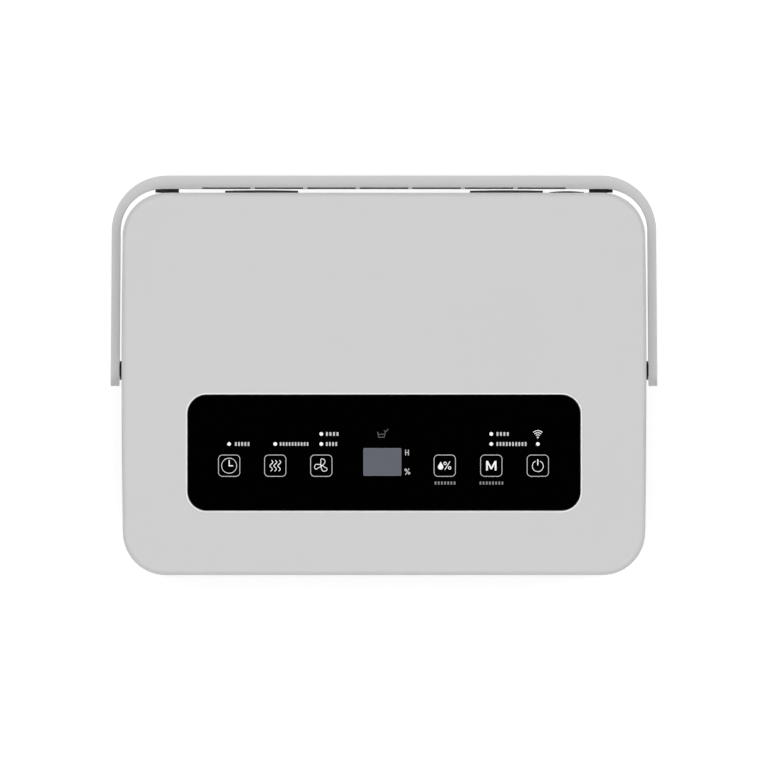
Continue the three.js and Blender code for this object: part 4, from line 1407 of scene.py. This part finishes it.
class BuildRests(bpy.types.Operator):
    """Rubber blocks on the back that the folded handle lies on."""

    bl_idname = "dehumidifier.rests"
    bl_label = "Handle rests"

    def execute(self, context):
        for name in ("left", "right"):
            node = "handle_rest_" + name
            low, high = plain(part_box(node))
            middle, _, height = middle_of(node)
            front = BACK_Y + GAP
            rest = block(node + "_finish", (low[0], front, low[2]), high)
            grooves = []
            for i in (-1, 0, 1):
                z = height + i * 0.0032
                corner = (low[0] - OVER, high[1] - 0.0007, z - 0.0005)
                grooves.append((corner, (high[0] + OVER, high[1] + OVER, z + 0.0005)))
            cut(rest, blocks("grooves", grooves))
            corner = (middle - REST_STEM, low[1], height - REST_STEM)
            join(rest, block("stem", corner, (middle + REST_STEM, front + 0.002, height + REST_STEM)))
            soften(rest, 0.0009, 3)
            place(rest, "cabinet", "rubber", finish(rest_rubber_painted_light), node)
        return {"FINISHED"}


def casing_shell(name, part, low, high):
    """A casing: the front or rear part of the cabinet's outline, open at top, bottom and seam."""
    s = sizes()
    shell = prism(name, cabinet_outline(0.0, part), low, high)
    cut(shell, prism("hollow", cabinet_outline(s.wall), low - OVER, high + OVER))
    return shell


class BuildFrontCasing(bpy.types.Operator):
    """Front casing, open for the outlet and the tank, with bearings for handle and flap."""

    bl_idname = "dehumidifier.front_casing"
    bl_label = "Front casing"

    def execute(self, context):
        s = sizes()
        shell = casing_shell("front_casing_finish", "front", FRONT[0][2], FRONT[1][2])
        inner = FRONT_Y + s.wall
        flap_low, flap_high = plain(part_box("outlet_flap"))
        tank_high = plain(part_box("tank_front"))[1]
        lugs = []
        for side in (-1, 1):
            span = sorted((side * (OUTLET_HALF + 0.001), side * (OUTLET_HALF + 0.007)))
            base = FLAP_AXIS[2] - 0.0046
            lugs.append(((span[0], inner - OVER, base), (span[1], inner + 0.005, base + 0.011)))
        join(shell, blocks("lugs", lugs))
        height, middle = flap_high[2] - flap_low[2] + 0.0012, (flap_low[2] + flap_high[2]) / 2
        opening = rounded_rectangle(2 * OUTLET_HALF, height, 0.0012, (0.0, middle), 4)
        tank_half = tank_high[0] + GAP
        corner = (-tank_half, FRONT_Y - OVER, FRONT[0][2] - OVER)
        tank = (corner, (tank_half, inner + OVER, tank_high[2] + 0.0006))
        reach, pin_reach = HALF_WIDTH + 0.01, OUTLET_HALF + 0.015
        cut(
            shell,
            upright_prism("outlet", opening, FRONT_Y - OVER, inner + OVER),
            block("tank_opening", *tank),
            rod("pivots", (-reach, reach), PIVOT_NECK + GAP, on_axis(PIVOT, "x"), "x", 40),
            rod("flap_pin", (-pin_reach, pin_reach), FLAP_PIN + GAP, on_axis(FLAP_AXIS, "x"), "x", 20),
        )
        soften(shell, s.edge, 2, 40)
        place(shell, "cabinet", "shell", finish(shell_plastic), "front_casing")
        return {"FINISHED"}


def screw_places():
    """Centre, across and up, of each casing screw by name."""
    places = {}
    for name in ("lower_left", "upper_left", "lower_right", "upper_right"):
        x, _, z = middle_of("casing_screw_" + name)
        places[name] = (x, z)
    return places


class BuildRearCasing(bpy.types.Operator):
    """Rear casing, open for the inlet grille, with screw bosses and holes for cord and drain."""

    bl_idname = "dehumidifier.rear_casing"
    bl_label = "Rear casing"

    def execute(self, context):
        s = sizes()
        shell = casing_shell("rear_casing_finish", "rear", REAR[0][2], REAR[1][2])
        inner = BACK_Y - s.wall
        bosses, recesses = bmesh.new(), bmesh.new()
        boss, shank, head = 0.007, SCREW_SHANK + GAP, SCREW_HEAD + GAP
        for x, z in screw_places().values():
            add_turned(bosses, [(inner - 0.006, boss), (inner + OVER, boss)], (x, 0, z), "y", 32)
            add_turned(recesses, [(inner - 0.015, shank), (BACK_Y - 0.0028, shank)], (x, 0, z), "y", 32)
            add_turned(recesses, [(BACK_Y - 0.00281, head), (BACK_Y + OVER, head)], (x, 0, z), "y", 32)
        join(shell, mesh_object("bosses", bosses))
        low, high = plain(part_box("inlet_grille"))
        height, middle = high[2] - low[2] + 2 * GAP, (low[2] + high[2]) / 2
        inlet = rounded_rectangle(2 * INLET_HALF, height, 0.0012, (0.0, middle), 4)
        gland, plug = on_axis(middle_of("cord_gland"), "y"), on_axis(middle_of("drain_plug"), "y")
        stems = []
        for name in ("left", "right"):
            x, _, z = middle_of("handle_rest_" + name)
            hole = REST_STEM + GAP
            stems.append(((x - hole, inner - 0.003, z - hole), (x + hole, BACK_Y + OVER, z + hole)))
        through = (inner - OVER, BACK_Y + OVER)
        cut(
            shell,
            mesh_object("recesses", recesses),
            upright_prism("inlet", inlet, *through),
            blocks("stem_holes", stems),
            rod("gland_hole", through, GLAND_STEM + GAP, gland, "y", 40),
            rod("drain_hole", through, DRAIN_HOLE, plug, "y", 40),
        )
        soften(shell, s.edge, 2, 40)
        place(shell, "cabinet", "shell", finish(shell_plastic), "rear_casing")
        return {"FINISHED"}


class BuildBase(bpy.types.Operator):
    """Base tray with a rounded lower edge, and the runners under the tank."""

    bl_idname = "dehumidifier.base"
    bl_label = "Base tray"

    def execute(self, context):
        s = sizes()
        low, rim = BASE[0][2], FRONT[0][2] - GAP
        fillet, floor = 0.0035, 0.003
        loops = []
        for i in range(7):
            a = math.pi / 2 * i / 6
            loops.append((fillet * (1 - math.sin(a)), low + fillet * (1 - math.cos(a))))
        loops += [(0.0, rim - s.edge), (s.edge, rim), (s.wall, rim), (s.wall, low + floor + fillet)]
        loops.append((s.wall + fillet, low + floor))
        base = loft("base_tray_finish", [level(cabinet_outline(inset), z) for inset, z in loops])
        runners = []
        for side in (-1, 1):
            x = side * 0.11
            corner = (x - 0.004, FRONT_Y + s.wall + GAP, low + 0.002)
            runners.append((corner, (x + 0.004, 0.0002, BASE[1][2])))
        join(base, blocks("runners", runners))
        studs = bmesh.new()
        for name in FEET:
            at, hole = on_axis(middle_of("foot_" + name), "z"), FOOT_STUD + GAP
            add_turned(studs, [(low - OVER, hole), (low + floor + OVER, hole)], at, "z", 32)
        cut(base, mesh_object("stud_holes", studs))
        clean(base)
        smooth(base, 30)
        place(base, "cabinet", "dark_trim", finish(dark_plastic), "base_tray")
        return {"FINISHED"}


class BuildFeet(bpy.types.Operator):
    """Four rubber feet, dished underneath, with studs that hold them in the base."""

    bl_idname = "dehumidifier.feet"
    bl_label = "Feet"

    def execute(self, context):
        for name in FEET:
            node = "foot_" + name
            low, high = plain(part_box(node))
            at = on_axis(middle_of(node), "z")
            radius, top = (high[0] - low[0]) / 2, 0.0057
            profile = [(0.0008, 0.001), (0.0008, 0.0078), (0.0004, 0.0084), (0.0, 0.0086)]
            profile += [(0.0, radius - 0.0012), (0.0003, radius - 0.0004), (0.001, radius), (0.0026, radius)]
            profile += [(0.003, radius - 0.0004), (0.0034, radius), (top - 0.0006, radius)]
            profile += [(top, radius - 0.0006), (top, FOOT_STUD)]
            profile += [(high[2] - 0.0008, FOOT_STUD), (high[2], FOOT_STUD - 0.0008)]
            foot = turned(node + "_finish", profile, at, "z", 56)
            smooth(foot, 50)
            place(foot, "cabinet", "rubber", finish(matt_rubber), node)
        return {"FINISHED"}


class BuildOutlet(bpy.types.Operator):
    """Outlet flap: a plate with a turned-in lower edge on its barrel, and pins at both ends."""

    bl_idname = "dehumidifier.outlet_flap"
    bl_label = "Outlet flap"

    def execute(self, context):
        low, high = plain(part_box("outlet_flap"))
        half = OUTLET_HALF - 0.0006
        front, back = low[1], low[1] + 0.002
        foot = FLAP_AXIS[2] - 0.0006
        plate_outline = rounded_rectangle(2 * half, high[2] - foot, 0.001, (0.0, (high[2] + foot) / 2), 4)
        flap = upright_prism("outlet_flap_finish", plate_outline, front, back)
        at = on_axis(FLAP_AXIS, "x")
        barrel = rod("barrel", (-half, half), 0.00299, at, "x", 36)
        join(flap, barrel, rod("pin", (low[0], high[0]), FLAP_PIN, at, "x", 24))
        ribs = []
        for x in (-0.08, -0.04, 0.0, 0.04, 0.08):
            corner = (x - 0.0006, back - 0.0004, FLAP_AXIS[2])
            ribs.append((corner, (x + 0.0006, back + 0.0018, high[2] - 0.003)))
        join(flap, blocks("ribs", ribs))
        z = high[2] - 0.006
        end, deep = half - 0.006, 0.0004
        cut(flap, block("line", (-end, front - OVER, z - deep), (end, front + deep, z + deep)))
        soften(flap, 0.0004, 2, 40)
        place(flap, "flap", "shell", finish(shell_plastic), "outlet_flap")
        return {"FINISHED"}


class BuildTank(bpy.types.Operator):
    """Slide-out tank: smoked body, front with a finger pocket, lid and float."""

    bl_idname = "dehumidifier.tank"
    bl_label = "Water tank"

    def execute(self, context):
        self.body()
        self.front()
        self.lid()
        self.float()
        return {"FINISHED"}

    def body(self):
        low, high = plain(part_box("water_tank"))
        width, depth, centre = around((low, high), 0.0)
        wall, radius = 0.0022, 0.009
        fall = 0.006
        loops = [(wall + fall, low[2] + wall), (wall, low[2] + wall + fall), (wall, high[2]), (0.0, high[2])]
        loops += [(0.0, low[2] + fall), (0.3 * fall, low[2] + 0.3 * fall), (fall, low[2])]
        shaped = []
        for inset, z in loops:
            corner = max(radius - inset, 0.002)
            outline = rounded_rectangle(width - 2 * inset, depth - 2 * inset, corner, centre, 8)
            shaped.append(level(outline, z))
        tank = loft("water_tank_finish", shaped)
        lugs = []
        for x in FLOAT_LUGS:
            corner = (x - 0.002, high[1] - 0.016, FLOAT_AXIS[2] - 0.005)
            lugs.append((corner, (x + 0.002, high[1] - 0.001, FLOAT_AXIS[2] + 0.005)))
        join(tank, blocks("lugs", lugs))
        span = (FLOAT_LUGS[0] - 0.003, FLOAT_LUGS[1] + 0.003)
        cut(tank, rod("bore", span, FLOAT_PIN + GAP, on_axis(FLOAT_AXIS, "x"), "x", 24))
        soften(tank, 0.0005, 2, 40)
        place(tank, "tank", "tank_smoke", finish(smoked_plastic), "water_tank")

    def front(self):
        s = sizes()
        low, high = plain(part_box("tank_front"))
        skin = block("tank_front_finish", (low[0], low[1], low[2]), (high[0], low[1] + s.wall, high[2]))
        pocket_top, pocket = high[2] - 0.014, (0.1, 0.024)
        middle = pocket_top - pocket[1] / 2
        cup = rounded_rectangle(pocket[0] + 2 * s.wall, pocket[1] + 2 * s.wall, 0.0065, (0.0, middle), 6)
        join(skin, upright_prism("cup", cup, low[1] + OVER, high[1]))
        webs = []
        for side in (-1, 1):
            x = side * 0.1
            webs.append(((x - 0.0015, low[1] + OVER, low[2] + 0.008), (x + 0.0015, high[1], high[2] - 0.02)))
        join(skin, blocks("webs", webs))
        hollow = rounded_rectangle(*pocket, 0.005, (0.0, middle), 6)
        cut(skin, upright_prism("pocket", hollow, low[1] - OVER, low[1] + 0.015))
        soften(skin, 0.0007, 3, 40)
        place(skin, "tank", "shell", finish(shell_plastic), "tank_front")

    def lid(self):
        low, high = plain(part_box("tank_lid"))
        width, depth, centre = around((low, high), 0.0)
        lid = prism("tank_lid_finish", rounded_rectangle(width, depth, 0.009, centre, 8), low[2], high[2])
        border, above = 0.006, high[2] + OVER
        dish = rounded_rectangle(width - 2 * border, depth - 2 * border, 0.006, centre, 8)
        cut(lid, prism("dish", dish, high[2] - 0.0008, above))
        at, hole = (0.0, -0.04 + MIDDLE_Y, 0.0), 0.02
        join(lid, rod("collar", (low[2] + 0.0005, high[2]), hole + 0.004, at, "z", 56))
        cut(lid, rod("fill_hole", (low[2] - OVER, above), hole, at, "z", 56))
        reach = depth / 2 - border
        ribs = []
        for x in (-0.11, -0.075, 0.075, 0.11):
            corner = (x - 0.0009, centre[1] - reach, low[2] + 0.001)
            ribs.append((corner, (x + 0.0009, centre[1] + reach, high[2])))
        join(lid, blocks("ribs", ribs))
        soften(lid, 0.0003, 2, 40)
        place(lid, "tank", "dark_trim", finish(dark_plastic), "tank_lid")

    def float(self):
        low, high = plain(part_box("tank_float"))
        left, right = FLOAT_LUGS
        y, z = FLOAT_AXIS[1], FLOAT_AXIS[2]
        corner = (left + 0.005, y - 0.055, z - 0.03)
        foam = block("tank_float_finish", corner, (right - 0.005, y - 0.016, z - 0.002))
        soften(foam, 0.003, 4)
        foam.modifiers.clear()
        arm = block("arm", (left + 0.006, y - 0.02, z - 0.004), (right - 0.006, y + 0.001, z - 0.0005))
        join(foam, arm, rod("pin", (low[0], high[0]), FLOAT_PIN, (0, y, z), "x", 24))
        smooth(foam, 30)
        place(foam, "float", "rim_white", finish(foam_plastic), "tank_float")


class BuildInlet(bpy.types.Operator):
    """Inlet grille: two columns of slots with round ends, a frame behind and two finger grips."""

    bl_idname = "dehumidifier.inlet_grille"
    bl_label = "Inlet grille"

    def execute(self, context):
        s = sizes()
        low, high = plain(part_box("inlet_grille"))
        half = high[0]
        inner = BACK_Y - s.wall
        middle = (low[2] + high[2]) / 2
        height = high[2] - low[2]
        plate_outline = rounded_rectangle(2 * half, height, 0.001, (0.0, middle), 4)
        grille = upright_prism("inlet_grille_finish", plate_outline, inner, BACK_Y)
        frame_outer = rounded_rectangle(2 * half - 0.002, height - 0.002, 0.001, (0.0, middle), 4)
        frame_inner = rounded_rectangle(2 * half - 0.008, height - 0.008, 0.001, (0.0, middle), 4)
        edge = upright_prism("frame", frame_outer, low[1], inner + OVER)
        cut(edge, upright_prism("inside", frame_inner, low[1] - OVER, inner))
        join(grille, edge)
        grips = bmesh.new()
        grip_height, grip_drop = 0.02, 0.002
        for side in (-1, 1):
            plan = self.bulge(side * GRIP_SPREAD, GRIP_WIDTH, s.grip_proud, s.grip_end)
            top = high[2] - grip_drop
            add_loft(grips, [level(plan, top - grip_height), level(plan, top)])
        join(grille, mesh_object("grips", grips))
        slots = bmesh.new()
        rows = 18
        first, last = low[2] + 0.016, high[2] - grip_height - 0.01
        pitch = (last - first) / (rows - 1)
        span = (0.005, half - 0.012)
        for row in range(rows):
            for side in (-1, 1):
                at = (side * sum(span) / 2, first + row * pitch)
                slot = rounded_rectangle(span[1] - span[0], s.slot_height, s.slot_height * 0.46, at, 6)
                add_loft(slots, [upright(slot, inner - OVER), upright(slot, BACK_Y + OVER)])
        cut(grille, mesh_object("slots", slots))
        soften(grille, 0.00035, 2, 40)
        place(grille, "grille", "dark_trim", finish(dark_plastic), "inlet_grille")
        return {"FINISHED"}

    @staticmethod
    def bulge(centre, width, proud, end):
        """A shallow arc standing on the back, with square ends, from above."""
        rise = proud - end
        radius = ((width / 2) ** 2 + rise**2) / (2 * rise)
        half = math.degrees(math.asin(width / 2 / radius))
        curve = arc((centre, BACK_Y + proud - radius), radius, 90 - half, 90 + half, 24)
        return [*curve, (centre - width / 2, BACK_Y - OVER), (centre + width / 2, BACK_Y - OVER)]


class BuildScrews(bpy.types.Operator):
    """Casing screws with rounded heads and cross recesses."""

    bl_idname = "dehumidifier.screws"
    bl_label = "Casing screws"

    def execute(self, context):
        for name, (x, z) in screw_places().items():
            node = "casing_screw_" + name
            low, high = plain(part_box(node))
            face, root = high[1], high[1] - 0.0022
            shank, head = SCREW_SHANK, SCREW_HEAD
            profile = [(low[1], shank - 0.0008), (low[1] + 0.0016, shank), (root, shank)]
            profile += [(root, head - 0.0002), (root + 0.0002, head), (root + 0.0009, head)]
            profile += [(face - 0.0007, head - 0.0004), (face - 0.0002, 0.0026)]
            profile += [(face, 0.0012), (face, 0.0004)]
            screw = turned(node + "_finish", profile, (x, 0, z), "y", 40)
            long, thin, bottom = 0.0022, 0.00045, face - 0.0013
            for across, up in ((long, thin), (thin, long)):
                corner = (x - across, bottom, z - up)
                cut(screw, block("recess", corner, (x + across, face + OVER, z + up)))
            smooth(screw)
            place(screw, "cabinet", "steel", finish(plated_steel), node)
        return {"FINISHED"}


class BuildFittings(bpy.types.Operator):
    """Cord inlet and drain plug at the back."""

    bl_idname = "dehumidifier.fittings"
    bl_label = "Cord inlet and drain plug"

    def execute(self, context):
        low, high = plain(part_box("cord_gland"))
        at = on_axis(middle_of("cord_gland"), "y")
        seat, radius, stem = BACK_Y + GAP, (high[0] - low[0]) / 2, GLAND_STEM
        profile = [(low[1], stem - 0.0004), (low[1] + 0.0004, stem), (seat, stem), (seat, radius - 0.0003)]
        profile += [(seat + 0.0003, radius), (seat + 0.0014, radius), (seat + 0.0017, radius - 0.0004)]
        crown = 0.0008
        profile += [(seat + 0.002, radius), (high[1] - crown - 0.00008, radius)]
        for i in range(9):
            across = 0.99 * (1 - i / 8) + 0.03 * i / 8
            profile.append((high[1] - crown * across**2, radius * across))
        gland = turned("cord_gland_finish", profile, at, "y", 64)
        cut(gland, rod("hole", (low[1] - OVER, high[1] + OVER), 0.0036, at, "y", 40))
        smooth(gland)
        place(gland, "cabinet", "rubber", finish(black_rubber), "cord_gland")
        low, high = plain(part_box("drain_plug"))
        at = on_axis(middle_of("drain_plug"), "y")
        radius, face = (high[0] - low[0]) / 2, high[1]
        seat = BACK_Y - sizes().wall + GAP
        profile = [(low[1], 0.003), (low[1] + 0.0006, 0.0036), (seat, 0.0036), (seat, radius - 0.0003)]
        profile += [(seat + 0.0003, radius), (face - 0.0004, radius), (face, radius - 0.0004)]
        profile += [(face, radius - 0.0016), (face - 0.0006, radius - 0.002), (face - 0.0006, 0.0005)]
        plug = turned("drain_plug_finish", profile, at, "y", 56)
        long, thin = 0.0056, 0.0009
        bar = block("bar", (at[0] - long, face - OVER, at[2] - thin), (at[0] + long, face, at[2] + thin))
        join(plug, bar)
        smooth(plug)
        place(plug, "plug", "rubber", finish(matt_rubber), "drain_plug")
        return {"FINISHED"}


class FinishInside(bpy.types.Operator):
    """Materials for the CAD nodes that stay: coils, compressor, fan, ducts, boards and pipes."""

    bl_idname = "dehumidifier.inside"
    bl_label = "Inside"

    def execute(self, context):
        slots = {part["node"]: part["material_slot"] for part in frame["record"]["subparts"]}
        for name, node in frame["nodes"].items():
            node.data.materials.clear()
            node.data.materials.append(finish(CAD_FINISHES[slots[name]]))
        return {"FINISHED"}


class DehumidifierPanel(bpy.types.Panel):
    """Sizes, colours and one button for each piece or group"""

    bl_idname = "VIEW3D_PT_dehumidifier"
    bl_label = "Dehumidifier"
    bl_space_type = "VIEW_3D"
    bl_region_type = "UI"
    bl_category = "Dehumidifier"

    def draw(self, context):
        for title, settings in (("Sizes", sizes()), ("Colours", colours()), ("Studio", studio())):
            column = self.layout.box().column(align=True)
            column.label(text=title)
            for name in settings.bl_rna.properties.keys():
                if name not in ("rna_type", "name"):
                    column.prop(settings, name)
        column = self.layout.column(align=True)
        for step in STEPS:
            column.operator(step.bl_idname)


STEPS = (
    BuildStage,
    FinishInside,
    BuildTopCover,
    BuildPanel,
    BuildKeys,
    BuildLegends,
    BuildHandle,
    BuildPivots,
    BuildRests,
    BuildFrontCasing,
    BuildRearCasing,
    BuildBase,
    BuildFeet,
    BuildOutlet,
    BuildTank,
    BuildInlet,
    BuildScrews,
    BuildFittings,
)
SETTINGS = {
    "dehumidifier_sizes": DehumidifierSizes,
    "dehumidifier_colours": DehumidifierColours,
    "dehumidifier_studio": DehumidifierStudio,
}


def register():
    for name, settings in SETTINGS.items():
        bpy.utils.register_class(settings)
        setattr(bpy.types.Scene, name, PointerProperty(type=settings))
    for step in STEPS:
        bpy.utils.register_class(step)
    bpy.utils.register_class(DehumidifierPanel)


def unregister():
    bpy.utils.unregister_class(DehumidifierPanel)
    for step in reversed(STEPS):
        bpy.utils.unregister_class(step)
    for name, settings in SETTINGS.items():
        delattr(bpy.types.Scene, name)
        bpy.utils.unregister_class(settings)


def main():
    register()
    for step in STEPS:
        group, name = step.bl_idname.split(".")
        getattr(getattr(bpy.ops, group), name)()


if __name__ == "__main__":
    main()
